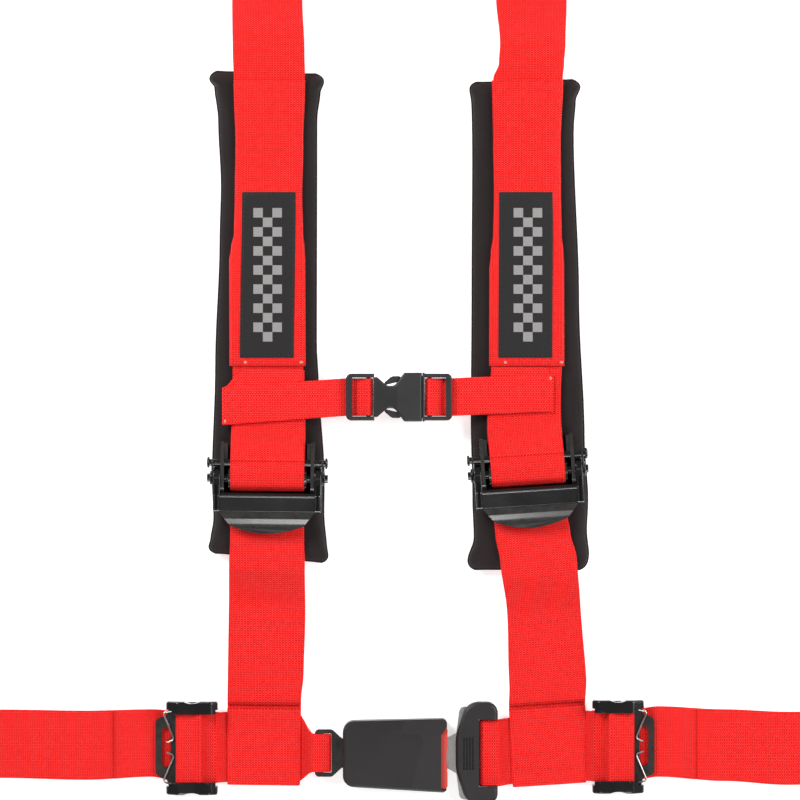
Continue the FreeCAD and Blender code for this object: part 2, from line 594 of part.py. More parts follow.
def wire_along(points, radius, wire_r):
    """Round wire through plan points at one height, each bend rounded."""
    count = len(points)
    bends = [None] + [corner(points[i - 1], points[i], points[i + 1], radius)
                      for i in range(1, count - 1)] + [None]
    edges = []
    start = points[0]
    for index in range(1, count):
        bend = bends[index]
        end = bend[0] if bend else points[index]
        if start.distanceToPoint(end) > 1e-6:
            edges.append(Part.makeLine(start, end))
        if bend:
            edges.append(Part.Arc(*bend).toShape())
            start = bend[2]
    spine = joined(edges)
    tangent = points[1].sub(points[0])
    profile = Part.Wire(Part.makeCircle(wire_r, points[0], tangent))
    return spine.makePipeShell([profile], True, False)


def slide_springs():
    """Bent wire spring at each end of the bar, hooked in the cap and on the tab."""
    z = SLIDE_PLATE_Z + SLIDE_PLATE + SLIDE_SPRING_R + 0.3
    cap_y = SLIDE_WRAP_Y + HALF_WEB + SLIDE_SPRING_R + 0.4
    points = [V(SLIDE_OPENING_HALF - 0.6, cap_y, z), V(SLIDE_OPENING_HALF - 2.0, TAB_SLOT_LOW_Y + 5.5, z),
              V(5.6, cap_y, z), V(3.6, TAB_SLOT_LOW_Y + 2.5, z)]
    return pair(wire_along(points, 2.0, SLIDE_SPRING_R))


def lap_strap_outer(side):
    """Lap web outside the slide: sewn loop in the slide plate and loop in the end bracket."""
    loop, loop_radii = end_loop(LAP_END_X - abs(SLIDE_X[side]))
    wrap_y = SLIDE_PLATE_LOW_Y - OUTER_WRAP_R
    path = [(60.0, 1.5 * WEB_THICK + 0.1), (2.5, 1.5 * WEB_THICK + 0.1), (-6.5, OUTER_TOP_Z),
            (wrap_y, OUTER_TOP_Z), (wrap_y, HALF_WEB)]
    radii = [0.0, 4.0, 2.0, OUTER_WRAP_R, OUTER_WRAP_R]
    return ribbon(path + loop, radii + loop_radii, WEB_THICK, WEB_WIDTH)


def lap_strap_inner(side):
    """Lap web between the slide and the latch or tongue."""
    end_x = ANCHOR_LEFT_X if side == "left" else TONGUE_END_X
    bar = ANCHOR_BAR if side == "left" else TONGUE_BAR
    slot = ANCHOR_SLOT if side == "left" else TONGUE_END_X - TONGUE_BAR - COVER_LEFT_X - COVER_BODY
    plate = ANCHOR_THICK if side == "left" else TONGUE_THICK
    outer_edge = abs(end_x) - abs(SLIDE_X[side])
    wrap_r = plate / 2 + WRAP_CLEAR + HALF_WEB
    far = outer_edge - bar - slot + SLOT_GAP + HALF_WEB
    path = [
        (-6.0, SLIDE_TAIL_Z),
        (SLIDE_WRAP_Y, SLIDE_TAIL_Z),
        (SLIDE_WRAP_Y, SLIDE_WEB_Z),
        (-0.5, SLIDE_WEB_Z),
        (-13.0, OUTER_TOP_Z + WEB_THICK + 1.2),
        (-19.9, JUNCTION_LAP_Z),
        (outer_edge + 8.5, JUNCTION_LAP_Z),
        (outer_edge + 1.8, LATCH_Z + wrap_r),
        (far, LATCH_Z + wrap_r),
        (far, LATCH_Z - wrap_r),
        (outer_edge + 1.2, LATCH_Z - wrap_r),
        (outer_edge + 5.4, HALF_WEB + 0.2),
        (outer_edge + 7.5, HALF_WEB + 0.2),
    ]
    turn_r = (SLIDE_WEB_Z - SLIDE_TAIL_Z) / 2
    radii = [0.0, turn_r, turn_r, 3.0, 3.0, 3.0, 4.0, 3.0, wrap_r, wrap_r, 3.0, 1.5, 0.0]
    strap = ribbon(path, radii, WEB_THICK, 2 * WEB_WIDTH)
    slot_half = ANCHOR_SLOT_HALF if side == "left" else COVER_SLOT_HALF
    across = (LATCH_Y - LAP_SHIFT_Y[side]) * (1 if side == "left" else -1)
    half = WEB_WIDTH / 2
    start = outer_edge + (9.5 if side == "left" else 32.0)
    return strap.common(drawn_outline(half, slot_half - LAYER_GAP, across, 30.0, start, outer_edge))


def drawn_outline(half, end_half, across, far_y, start_y, end_y):
    """Plan outline of a web that narrows and moves sideways between two places."""
    return plan_prism(
        [(-half, far_y), (-half, start_y), (across - end_half, end_y),
         (across - end_half, end_y - 20.0), (across + end_half, end_y - 20.0),
         (across + end_half, end_y), (half, start_y), (half, far_y)],
        -5.0, 60.0)


# ---- Latch ------------------------------------------------------------------
CASING_CHAMFER = 6.0
CASING_CHAMFER_SLANT_DEG = 4.2
CASING_CHAMFER_DROP = 4.0
CHAMFER_WALL = 2.2
FRAME_PLATE = 2.0
FRAME_BASE_Z = LATCH_Z - ANCHOR_THICK / 2 - 0.1 - FRAME_PLATE
FRAME_HALF = 13.3
MOUTH_LOW_Z = LATCH_Z - TONGUE_THICK / 2 - 0.8
BUTTON_LOW_Z = LATCH_Z + TONGUE_THICK / 2 + 0.9
BUTTON_HIGH_Z = CASING_HEIGHT - CASING_WALL - 0.8
BUTTON_BACK_X = 18.5
BUTTON_GAP = 0.3
BUTTON_ARM_BACK_X = -8.0
BUTTON_ARM_Y = 18.6
PAWL_X = -9.0
PAWL_Z = LATCH_Z + 4.4
PAWL_TIP_X = 12.0
PAWL_HALF = 6.0
PAWL_PIN_R = 1.5
EJECTOR_BACK_X = -15.0
SPRING_WIRE = 0.45
SCREW_X = -30.0
SCREW_R = 1.3
BOSS_R = 2.8
INNER_TOP = CASING_HEIGHT - CASING_WALL
ARM_TOP = INNER_TOP - CASING_CHAMFER_DROP - 0.4
SCREW_TOP = ARM_TOP - 1.0


def casing_outline(inset):
    """Plan outline of the latch casing, drawn in by an inset on three sides."""
    left_half = CASING_LEFT_WIDTH / 2 - inset
    right_half = CASING_RIGHT_WIDTH / 2 - inset
    left = CASING_LEFT_X + inset
    right = CASING_RIGHT_X - inset
    points = [(left, LATCH_Y - left_half), (right, LATCH_Y - right_half - 1.5),
              (right, LATCH_Y + right_half - 1.5), (left, LATCH_Y + left_half)]
    return points, [8.0 - inset, 3.5, 3.5, 8.0 - inset]


def casing_solid():
    """Solid latch casing with a long chamfer along its upper edge and soft rims."""
    points, radii = casing_outline(0.0)
    solid = plan_prism(points, 0.0, CASING_HEIGHT, radii=radii)
    solid = softened(solid, 2.2, lambda edge: at_height(edge, CASING_HEIGHT) or at_height(edge, 0.0))
    return solid.cut(chamfer_wedge(0.0))


def chamfer_wedge(lowered):
    """Wedge outside the long slanting chamfer, moved down by a wall for the inside."""
    edge_y = LATCH_Y + CASING_LEFT_WIDTH / 2 + 1.5
    start_y = edge_y - CASING_CHAMFER
    top = CASING_HEIGHT - lowered
    wedge = side_prism([(start_y, top), (start_y, top + 20.0), (edge_y + 20.0, top + 20.0),
                        (edge_y + 20.0, top - 12.0), (edge_y + 4.0, top - CASING_CHAMFER_DROP - 1.5)],
                       CASING_LEFT_X - 10, CASING_RIGHT_X + 10)
    return turned(wedge, -CASING_CHAMFER_SLANT_DEG, V(CASING_LEFT_X, start_y, 0))


def button_notch():
    """Cut in the casing's upper end that shows the button, slanting at the chamfer side."""
    half = BUTTON_WIDTH / 2 + BUTTON_GAP
    low, high = BUTTON_Y - half, BUTTON_Y + half
    beyond = CASING_RIGHT_X + 5
    return plan_prism([(BUTTON_SHOWN_X, low), (beyond, low), (beyond, high), (CASING_RIGHT_X, high),
                       (BUTTON_SHOWN_X, high - 6.0)], BUTTON_LOW_Z, CASING_HEIGHT + 5)


def casing_cavity():
    """Hollow of the casing with the button opening, the tongue mouth and the anchor slot."""
    points, radii = casing_outline(CASING_WALL)
    hollow = plan_prism(points, CASING_WALL, INNER_TOP, radii=radii)
    hollow = hollow.cut(chamfer_wedge(CHAMFER_WALL))
    half = BUTTON_WIDTH / 2 + BUTTON_GAP
    window = block(BUTTON_BACK_X - BUTTON_TRAVEL - 0.5, CASING_RIGHT_X + 5, BUTTON_Y - half,
                   BUTTON_Y + half, MOUTH_LOW_Z, BUTTON_HIGH_Z + BUTTON_GAP)
    window = window.cut(chamfer_wedge(CHAMFER_WALL))
    neck = ANCHOR_NECK_HALF + 0.2
    slot = block(CASING_LEFT_X - 5, CASING_LEFT_X + 5, LATCH_Y - neck, LATCH_Y + neck,
                 LATCH_Z - ANCHOR_THICK / 2 - 0.1, LATCH_Z + ANCHOR_THICK / 2 + 0.1)
    return hollow.fuse(window).fuse(slot).fuse(button_notch())


def casing_half(upper):
    """Upper or lower shell of the casing; the screws run through bosses in both."""
    keep = block(-200, 200, -100, 100, LATCH_Z, 100) if upper else \
        block(-200, 200, -100, 100, -10, LATCH_Z)
    solid = casing_solid()
    shell = solid.cut(casing_cavity())
    for x, y in screw_places():
        boss = rod(V(x, y, CASING_WALL - 0.5), V(x, y, INNER_TOP + 0.5), BOSS_R).common(solid)
        shell = shell.fuse(boss).cut(rod(V(x, y, -1), V(x, y, SCREW_TOP + 0.5), SCREW_R))
        shell = shell.cut(rod(V(x, y, -1), V(x, y, 1.4), 2.5))
    return shell.common(keep)


def screw_places():
    """Plan positions of the casing screws, beside the channel."""
    reach = FRAME_HALF + FRAME_PLATE + BOSS_R + 0.2
    return [(SCREW_X, LATCH_Y - reach), (SCREW_X, LATCH_Y + reach)]


def casing_screws():
    """Self-tapping screws that hold the casing shells together."""
    screws = []
    for x, y in screw_places():
        head = rod(V(x, y, 0.2), V(x, y, 1.4), 2.3)
        shank = rod(V(x, y, 1.4), V(x, y, SCREW_TOP), SCREW_R)
        socket = plan_prism([(x - 1.4, y - 0.4), (x + 1.4, y - 0.4), (x + 1.4, y + 0.4),
                             (x - 1.4, y + 0.4)], 0.0, 0.8)
        screws.append(head.fuse(shank).cut(socket))
    return Part.makeCompound(screws)


def latch_frame():
    """Steel channel that ties the anchor plate to the pawl pin."""
    base = block(-36, 20, LATCH_Y - FRAME_HALF - FRAME_PLATE, LATCH_Y + FRAME_HALF + FRAME_PLATE,
                 FRAME_BASE_Z, FRAME_BASE_Z + FRAME_PLATE)
    frame = base
    wall_top = PAWL_Z + PAWL_PIN_R + 1.5
    for sign in (-1, 1):
        near = LATCH_Y + sign * FRAME_HALF
        far = LATCH_Y + sign * (FRAME_HALF + FRAME_PLATE)
        wall = block(-14, 12, min(near, far), max(near, far), FRAME_BASE_Z, wall_top)
        frame = frame.fuse(wall)
    pin = rod(V(PAWL_X, LATCH_Y - 30, PAWL_Z), V(PAWL_X, LATCH_Y + 30, PAWL_Z), PAWL_PIN_R)
    frame = frame.cut(pin)
    for x in rivet_places():
        frame = frame.cut(rod(V(x, LATCH_Y, 0), V(x, LATCH_Y, CASING_HEIGHT), 2.0))
    return frame


def rivet_places():
    """X of the rivets that join the anchor plate to the channel."""
    return [-31.0, -22.0]


def anchor_rivets():
    """Headed rivets through the anchor plate and the channel."""
    low, high = FRAME_BASE_Z, LATCH_Z + ANCHOR_THICK / 2
    rivets = []
    for x in rivet_places():
        shank = rod(V(x, LATCH_Y, low - 1.0), V(x, LATCH_Y, high + 1.0), 2.0)
        heads = [rod(V(x, LATCH_Y, z), V(x, LATCH_Y, z + 1.0), 3.2) for z in (low - 1.0, high)]
        rivets.append(shank.fuse(heads[0]).fuse(heads[1]))
    return Part.makeCompound(rivets)


def anchor_plate():
    """Steel plate: slot for the left lap web, neck running into the casing."""
    left = ANCHOR_LEFT_X
    half = ANCHOR_HALF
    neck_x = CASING_LEFT_X - 0.8
    points = [(left, -half), (neck_x - 7.0, -half), (neck_x, -ANCHOR_NECK_HALF), (-17.0, -ANCHOR_NECK_HALF),
              (-17.0, ANCHOR_NECK_HALF), (neck_x, ANCHOR_NECK_HALF), (neck_x - 7.0, half), (left, half)]
    plate = plan_prism([(x, y + LATCH_Y) for x, y in points],
                       LATCH_Z - ANCHOR_THICK / 2, LATCH_Z + ANCHOR_THICK / 2,
                       radii=[3.0, 4.0, 2.0, 1.0, 1.0, 2.0, 4.0, 3.0])
    slot_x = left + ANCHOR_BAR
    slot = plan_prism(
        [(slot_x, LATCH_Y - ANCHOR_SLOT_HALF), (slot_x + ANCHOR_SLOT, LATCH_Y - ANCHOR_SLOT_HALF),
         (slot_x + ANCHOR_SLOT, LATCH_Y + ANCHOR_SLOT_HALF), (slot_x, LATCH_Y + ANCHOR_SLOT_HALF)],
        0.0, CASING_HEIGHT, radius=0.8)
    plate = plate.cut(slot)
    for x in rivet_places():
        plate = plate.cut(rod(V(x, LATCH_Y, 0), V(x, LATCH_Y, CASING_HEIGHT), 2.0))
    return plate


def button():
    """Red release button across the casing's end, with an arm each side of the channel."""
    half = BUTTON_WIDTH / 2
    out = CASING_RIGHT_X + BUTTON_OUT
    dish_r = 60.0
    head = plan_prism(
        [(BUTTON_BACK_X, BUTTON_Y - half), (out, BUTTON_Y - half), (out, BUTTON_Y + half),
         (BUTTON_BACK_X, BUTTON_Y + half)], BUTTON_LOW_Z, BUTTON_HIGH_Z, radii=[1.0, 2.5, 2.5, 1.0])
    dish_x = out + dish_r - 0.9
    dish = rod(V(dish_x, BUTTON_Y, 0), V(dish_x, BUTTON_Y, 2 * CASING_HEIGHT), dish_r)
    head = head.cut(dish).cut(chamfer_wedge(CHAMFER_WALL + 0.4))
    for sign in (-1, 1):
        middle = LATCH_Y + sign * BUTTON_ARM_Y
        head = head.fuse(block(BUTTON_ARM_BACK_X, BUTTON_BACK_X + 1, middle - 1.8, middle + 1.8,
                               BUTTON_LOW_Z, ARM_TOP))
    return head


def coil_spring(start, length, direction, radius, turns, wire):
    """Round-wire compression spring along a direction."""
    helix = Part.makeHelix(length / turns, length, radius)
    profile = Part.Wire(Part.makeCircle(wire, V(radius, 0, 0), V(0, 1, 0)))
    coil = Part.Wire(helix).makePipeShell([profile], True, True)
    coil.Placement = FreeCAD.Placement(start, FreeCAD.Rotation(V(0, 0, 1), direction))
    return coil


def button_springs():
    """Return springs behind the button's arms."""
    z = (BUTTON_LOW_Z + ARM_TOP) / 2
    coils = [coil_spring(V(BUTTON_ARM_BACK_X - 0.6, LATCH_Y + sign * BUTTON_ARM_Y, z), 14.0,
                         V(-1, 0, 0), 1.3, 6, SPRING_WIRE) for sign in (-1, 1)]
    return Part.makeCompound(coils)


def pawl():
    """Locking pawl over the tongue's window; its tooth stands just clear of the blade."""
    blade_top = LATCH_Z + TONGUE_THICK / 2
    side = front_prism(
        [(PAWL_X - 2.6, PAWL_Z - 1.2), (PAWL_TIP_X - 6.0, PAWL_Z - 1.2),
         (PAWL_TIP_X - 6.0, blade_top + 0.35), (PAWL_TIP_X - 1.0, blade_top + 0.35),
         (PAWL_TIP_X, PAWL_Z), (PAWL_TIP_X, PAWL_Z + 0.9), (PAWL_X + 3.0, PAWL_Z + 0.9),
         (PAWL_X, PAWL_Z + 2.6), (PAWL_X - 2.6, PAWL_Z + 2.6)],
        LATCH_Y - PAWL_HALF, LATCH_Y + PAWL_HALF,
        radii=[1.0, 0, 0, 0.8, 0, 0.6, 2.0, 1.5, 1.5])
    return side.cut(rod(V(PAWL_X, LATCH_Y - 30, PAWL_Z), V(PAWL_X, LATCH_Y + 30, PAWL_Z),
                        PAWL_PIN_R + RUNNING_FIT))


def pawl_pin():
    """Pin that carries the pawl between the channel's walls."""
    half = FRAME_HALF + FRAME_PLATE
    return rod(V(PAWL_X, LATCH_Y - half, PAWL_Z), V(PAWL_X, LATCH_Y + half, PAWL_Z), PAWL_PIN_R)


def ejector():
    """Slider that the tongue's tip pushes back against its spring."""
    low = LATCH_Z - ANCHOR_THICK / 2 + 0.1
    body = block(EJECTOR_BACK_X, TONGUE_TIP_X - 0.4, LATCH_Y - 6, LATCH_Y + 6, low, low + 2.6)
    return softened(body, 0.6, lambda edge: abs(edge.Vertexes[0].Point.y - edge.Vertexes[1].Point.y) < 1e-6
                    and abs(edge.Vertexes[0].Point.x - edge.Vertexes[1].Point.x) < 1e-6)


# ---- Tongue -----------------------------------------------------------------
def tongue_plate():
    """Steel tongue: windowed blade, wide shoulder and the bar that the lap web wraps."""
    tip = TONGUE_TIP_X
    half = TONGUE_BLADE_HALF
    wide = COVER_HALF - 3.5
    end = TONGUE_END_X
    outline = [(tip, -half + 3.0), (tip + 4.0, -half), (34.0, -half), (COVER_LEFT_X + 0.5, -half - 3.5),
               (COVER_LEFT_X + 3.0, -wide), (end, -wide), (end, wide), (COVER_LEFT_X + 3.0, wide),
               (COVER_LEFT_X + 0.5, half + 3.5), (34.0, half), (tip + 4.0, half), (tip, half - 3.0)]
    radii = [1.0, 2.0, 6.0, 1.0, 4.0, 3.0, 3.0, 4.0, 1.0, 6.0, 2.0, 1.0]
    plate = plan_prism([(x, y + LATCH_Y) for x, y in outline], LATCH_Z - TONGUE_THICK / 2,
                       LATCH_Z + TONGUE_THICK / 2, radii=radii)
    window = plan_prism([(4.0, LATCH_Y - 7.0), (14.0, LATCH_Y - 7.0), (14.0, LATCH_Y + 7.0),
                         (4.0, LATCH_Y + 7.0)], 0.0, CASING_HEIGHT, radius=1.0)
    return plate.cut(window).cut(tongue_slot())


def tongue_slot():
    """Gap between the cover's body and the tongue's bar."""
    slot_x = COVER_LEFT_X + COVER_BODY
    bar_x = TONGUE_END_X - TONGUE_BAR
    half = COVER_SLOT_HALF
    return block(slot_x, bar_x, LATCH_Y - half, LATCH_Y + half, 0.0, CASING_HEIGHT)


def tongue_cover():
    """Moulded grip over the tongue: thick body, two arms and finger grooves."""
    half = COVER_HALF
    left = COVER_LEFT_X
    low, high = LATCH_Z - COVER_THICK / 2, LATCH_Z + COVER_THICK / 2
    outline = [(left + 8.0, -half), (COVER_RIGHT_X, -half), (COVER_RIGHT_X, half), (left + 8.0, half),
               (left, 12.0), (left, -12.0)]
    body = plan_prism([(x, y + LATCH_Y) for x, y in outline], low, high,
                      radii=[12.0, 8.0, 8.0, 12.0, 30.0, 30.0])
    body = softened(body, 2.8, lambda edge: at_height(edge, high) or at_height(edge, low))
    opening = block(left + COVER_BODY, COVER_RIGHT_X + 5, LATCH_Y - COVER_SLOT_HALF,
                    LATCH_Y + COVER_SLOT_HALF, 0.0, CASING_HEIGHT)
    body = body.cut(opening).cut(tongue_plate())
    groove_count = 4
    for index in range(groove_count):
        x = left + 5.4 + 2.1 * index
        body = body.cut(block(x, x + 1.1, LATCH_Y - 11.5, LATCH_Y + 11.5, high - 1.2, high + 1))
    return body


# ---- Sternum clip -----------------------------------------------------------
CLIP_LOW = CLIP_Z - CLIP_THICK / 2
CLIP_HIGH = CLIP_Z + CLIP_THICK / 2
MID_BAR_R = 1.6
MID_BAR_IN = CLIP_BAR + CLIP_SLOT - MID_BAR_R - 0.3 - STERNUM_WEB_THICK - 0.3
PRONG_ROOT_X = CLIP_SEAM_X + 0.6
PRONG_TIP_X = -11.0
PRONG_ROOT_Y = 10.0


def clip_end(outer_x, inward):
    """Web frame of one clip half: raised end bar, open slot and a low grip bar."""
    slot_start, slot_end = sorted((outer_x + inward * CLIP_BAR, outer_x + inward * (CLIP_BAR + CLIP_SLOT)))
    start, end = sorted((outer_x, outer_x + inward * (CLIP_BAR + CLIP_SLOT + 0.8)))
    half = CLIP_FRAME_HALF
    frame_top = CLIP_HIGH - 1.0
    radii = [4.0, 0.1, 0.1, 4.0] if inward > 0 else [0.1, 4.0, 4.0, 0.1]
    frame = plan_prism([(start, CLIP_Y - half), (end, CLIP_Y - half), (end, CLIP_Y + half),
                        (start, CLIP_Y + half)], CLIP_LOW, frame_top, radii=radii)
    frame = softened(frame, 1.2, lambda edge: at_height(edge, frame_top) or at_height(edge, CLIP_LOW))
    slot_half = STERNUM_WEB_WIDTH / 2 + 0.3
    slot = block(slot_start, slot_end, CLIP_Y - slot_half, CLIP_Y + slot_half, 0.0, 2 * CLIP_Z)
    under_start, under_end = sorted((outer_x - inward * 5, outer_x + inward * (CLIP_BAR + CLIP_SLOT)))
    under = block(under_start, under_end, CLIP_Y - slot_half, CLIP_Y + slot_half, 0.0, CLIP_Z + 0.1)
    bar_x = outer_x + inward * MID_BAR_IN
    bar = rod(V(bar_x, CLIP_Y - slot_half - 1, CLIP_Z), V(bar_x, CLIP_Y + slot_half + 1, CLIP_Z), MID_BAR_R)
    return frame.cut(slot).cut(under).fuse(bar)


def clip_socket():
    """Hollow half of the side-release clip, waisted so the prongs can be squeezed."""
    left = CLIP_LEFT_X + CLIP_BAR + CLIP_SLOT
    waist_left, waist_right = left + 3.0, 3.0
    middle = (waist_left + waist_right) / 2
    frame_half, mouth, waist = CLIP_FRAME_HALF, CLIP_MOUTH_HALF, CLIP_WAIST_HALF
    upper = [(CLIP_SEAM_X, mouth), (waist_right, mouth), (middle + 2.5, waist), (middle - 2.5, waist),
             (left, frame_half)]
    outline = upper + [(x, -y) for x, y in reversed(upper)]
    radii = [1.0, 2.0, 4.0, 4.0, 2.0, 2.0, 4.0, 4.0, 2.0, 1.0]
    body = plan_prism([(x, y + CLIP_Y) for x, y in outline], CLIP_LOW, CLIP_HIGH, radii=radii)
    body = softened(body, 1.5, lambda edge: at_height(edge, CLIP_HIGH) or at_height(edge, CLIP_LOW))
    cavity = block(PRONG_TIP_X - 1.5, CLIP_SEAM_X + 1, CLIP_Y - mouth + CLIP_WALL,
                   CLIP_Y + mouth - CLIP_WALL, CLIP_LOW + CLIP_WALL, CLIP_HIGH - CLIP_WALL)
    side_gates = block(PRONG_TIP_X - 1.5, waist_right, CLIP_Y - 30, CLIP_Y + 30,
                       CLIP_LOW + CLIP_WALL, CLIP_HIGH - CLIP_WALL)
    return clip_end(CLIP_LEFT_X, 1).fuse(body).cut(cavity).cut(side_gates).removeSplitter()


def clip_plug():
    """Plug half: flange, centre guide and the web frame."""
    flange = block(CLIP_SEAM_X + 0.3, CLIP_RIGHT_X - CLIP_BAR - CLIP_SLOT,
                   CLIP_Y - CLIP_MOUTH_HALF, CLIP_Y + CLIP_MOUTH_HALF, CLIP_LOW, CLIP_HIGH)
    flange = softened(flange, 0.7, lambda edge: edge.Length > 5)
    guide = plan_prism([(PRONG_TIP_X + 6.0, CLIP_Y - 2.0), (CLIP_SEAM_X + 1.0, CLIP_Y - 2.0),
                        (CLIP_SEAM_X + 1.0, CLIP_Y + 2.0), (PRONG_TIP_X + 6.0, CLIP_Y + 2.0)],
                       CLIP_Z - 2.4, CLIP_Z + 2.4, radii=[1.5, 0, 0, 1.5])
    end = clip_end(CLIP_RIGHT_X, -1)
    keep = block(CLIP_SEAM_X + 0.3, 100, 0, 500, 0, 100)
    knuckles = [rod(V(PRONG_ROOT_X - 2.0, CLIP_Y + sign * PRONG_ROOT_Y, CLIP_Z - 2.6),
                    V(PRONG_ROOT_X - 2.0, CLIP_Y + sign * PRONG_ROOT_Y, CLIP_Z + 2.6), 1.6 + RUNNING_FIT)
                for sign in (-1, 1)]
    reach = CLIP_MOUTH_HALF - CLIP_WALL - 0.3
    webs = [block(CLIP_SEAM_X - 4.5, CLIP_SEAM_X + 1.0, CLIP_Y - reach, CLIP_Y + reach, z0, z0 + 0.6)
            for z0 in (CLIP_Z - 2.7, CLIP_Z + 2.1)]
    body = end.common(keep).fuse(flange).fuse(guide)
    for web in webs:
        body = body.fuse(web)
    for knuckle in knuckles:
        body = body.cut(knuckle)
    return body.removeSplitter()


def clip_prong(sign):
    """Sprung side prong: slim arm ending in a rounded catch pad."""
    root_x = PRONG_ROOT_X - 2.0
    points = [(root_x, PRONG_ROOT_Y - 1.1), (root_x, PRONG_ROOT_Y + 1.1), (3.5, 12.2), (-0.5, 15.0),
              (-6.0, 14.9), (PRONG_TIP_X, 10.5), (PRONG_TIP_X, 8.5), (-2.0, 10.6)]
    radii = [0.2, 0.2, 3.0, 2.5, 4.0, 0.8, 0.8, 6.0]
    arm = plan_prism([(x, CLIP_Y + sign * y) for x, y in points], CLIP_Z - 1.9, CLIP_Z + 1.9, radii=radii)
    eye = rod(V(root_x, CLIP_Y + sign * PRONG_ROOT_Y, CLIP_Z - 1.9),
              V(root_x, CLIP_Y + sign * PRONG_ROOT_Y, CLIP_Z + 1.9), 1.6)
    return arm.fuse(eye).removeSplitter()


def sternum_strap(side):
    """Sternum web: grip loop in the clip and the end sewn on the shoulder strap."""
    half_thick = STERNUM_WEB_THICK / 2
    wrap_r = MID_BAR_R + 0.3 + half_thick
    top, bottom = CLIP_Z + wrap_r, CLIP_Z - wrap_r
    inner_y = -MID_BAR_IN - wrap_r
    sewn_z = STRAP_TOP_Z + 0.15 + half_thick
    under_z = CLIP_Z - 0.4 - half_thick
    clip_x = CLIP_LEFT_X if side == "left" else CLIP_RIGHT_X
    inner_edge = abs(SHOULDER_X[side] - clip_x) - HALF_WIDTH
    path = [(inner_edge - 5.0, bottom), (inner_y, bottom), (inner_y, top), (-MID_BAR_IN + 1.0, top),
            (-CLIP_BAR - 1.5, under_z), (3.0, under_z)]
    radii = [0.0, wrap_r, wrap_r, 1.5, 1.5, 8.0]
    if side == "left":
        front_z = sewn_z + STERNUM_WEB_THICK + 0.3
        fold_y = CLIP_LEFT_X - STERNUM_FOLD_X - half_thick
        turn_r = (front_z - sewn_z) / 2
        path += [(14.0, front_z), (fold_y, front_z), (fold_y, sewn_z), (inner_edge - 1.0, sewn_z)]
        radii += [8.0, turn_r, turn_r, 0.0]
        end_y = fold_y
    else:
        end_y = STERNUM_SEWN_X - CLIP_RIGHT_X
        path += [(14.0, sewn_z), (end_y, sewn_z)]
        radii += [8.0, 0.0]
    strap = ribbon(path, radii, STERNUM_WEB_THICK, 2 * STERNUM_WEB_WIDTH)
    drift = -end_y * math.tan(math.radians(STERNUM_TILT_DEG[side]))
    half = STERNUM_WEB_WIDTH / 2
    far = end_y + 2.0
    outline = plan_prism([(-half, -30.0), (half, -30.0), (half, 0.0), (half + drift, far),
                          (-half + drift, far), (-half, 0.0)], 0.0, 60.0)
    return strap.common(outline)


# ---- Assembly ---------------------------------------------------------------
def shoulder_parts(side):
    """Named pieces of one shoulder, in plan position."""
    x, y = SHOULDER_X[side], ADJUSTER_Y[side]
    tilt = ADJUSTER_TILT_DEG[side]
    adjuster = {
        "adjuster_frame": adjuster_frame(),
        "guide_pin": guide_pin(),
        "web_drum": drum(),
        "release_lever": lever(),
        "lever_springs": lever_springs(),
        "lower_strap": lower_strap(side),
    }
    parts = {name: placed(shape, x, y, tilt) for name, shape in adjuster.items()}
    parts["shoulder_strap"] = placed(upper_strap(side), x, y)
    parts["shoulder_pad"] = pad(side)
    parts["pad_sleeve"] = pad_sleeve(side)
    parts["label"] = label(side)
    parts["shoulder_bracket"] = placed(end_bracket(), x, SHOULDER_END_Y)
    return parts


def lap_parts(side):
    """Named pieces of one lap belt, in plan position."""
    turn = 90.0 if side == "left" else -90.0
    away = -1 if side == "left" else 1
    local = {
        "slide_frame": slide_frame(),
        "slide_bar": slide_bar(),
        "slide_springs": slide_springs(),
        "lap_strap_outer": lap_strap_outer(side),
        "lap_strap_inner": lap_strap_inner(side),
    }
    shift = LAP_SHIFT_Y[side]
    parts = {name: placed(shape, SLIDE_X[side], shift, turn) for name, shape in local.items()}
    parts["lap_bracket"] = placed(end_bracket(), away * LAP_END_X, shift, turn)
    clip_x = CLIP_LEFT_X if side == "left" else CLIP_RIGHT_X
    parts["sternum_strap"] = placed(sternum_strap(side), clip_x, CLIP_Y, turn)
    return parts


def middle_parts():
    """Named pieces of the latch, the tongue and the sternum clip."""
    return {
        "latch_casing_upper": casing_half(True),
        "latch_casing_lower": casing_half(False),
        "latch_screws": casing_screws(),
        "latch_frame": latch_frame(),
        "anchor_plate": anchor_plate(),
        "anchor_rivets": anchor_rivets(),
        "release_button": button(),
        "button_springs": button_springs(),
        "latch_pawl": pawl(),
        "pawl_pin": pawl_pin(),
        "ejector": ejector(),
        "tongue_plate": tongue_plate(),
        "tongue_cover": tongue_cover(),
        "clip_socket": clip_socket(),
        "clip_plug": clip_plug(),
        "clip_prong_upper": clip_prong(1),
        "clip_prong_lower": clip_prong(-1),
    }


def centre_shift():
    """Move that puts the origin at the bottom centre of the whole harness."""
    top = SHOULDER_END_Y + BRACKET_BOLT_Y + BRACKET_NOSE_R
    bottom = LATCH_Y - COVER_HALF
    return V(0, -(top + bottom) / 2, 0)


def harness():
    """Every piece by name, in the finished frame."""
    parts = middle_parts()
    for side in SIDES:
        for name, shape in {**shoulder_parts(side), **lap_parts(side)}.items():
            parts[side + "_" + name] = shape
    shift = centre_shift()
    return {name: shape.translated(shift) for name, shape in parts.items()}


def main():
    """Write one STEP file for each piece."""
    os.makedirs("parts", exist_ok=True)
    for name, shape in harness().items():
        shape.exportStep("parts/" + name + ".step")


if __name__ == "__main__":
    main()
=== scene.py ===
"""Racing harness laid flat: detailed webbing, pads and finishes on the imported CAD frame.

Sizes are in millimetres until a mesh is made.  Every strap follows the route of its
CAD solid, and small stations give the way its edges wander.
"""
import math

import bpy
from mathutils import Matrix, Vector, noise


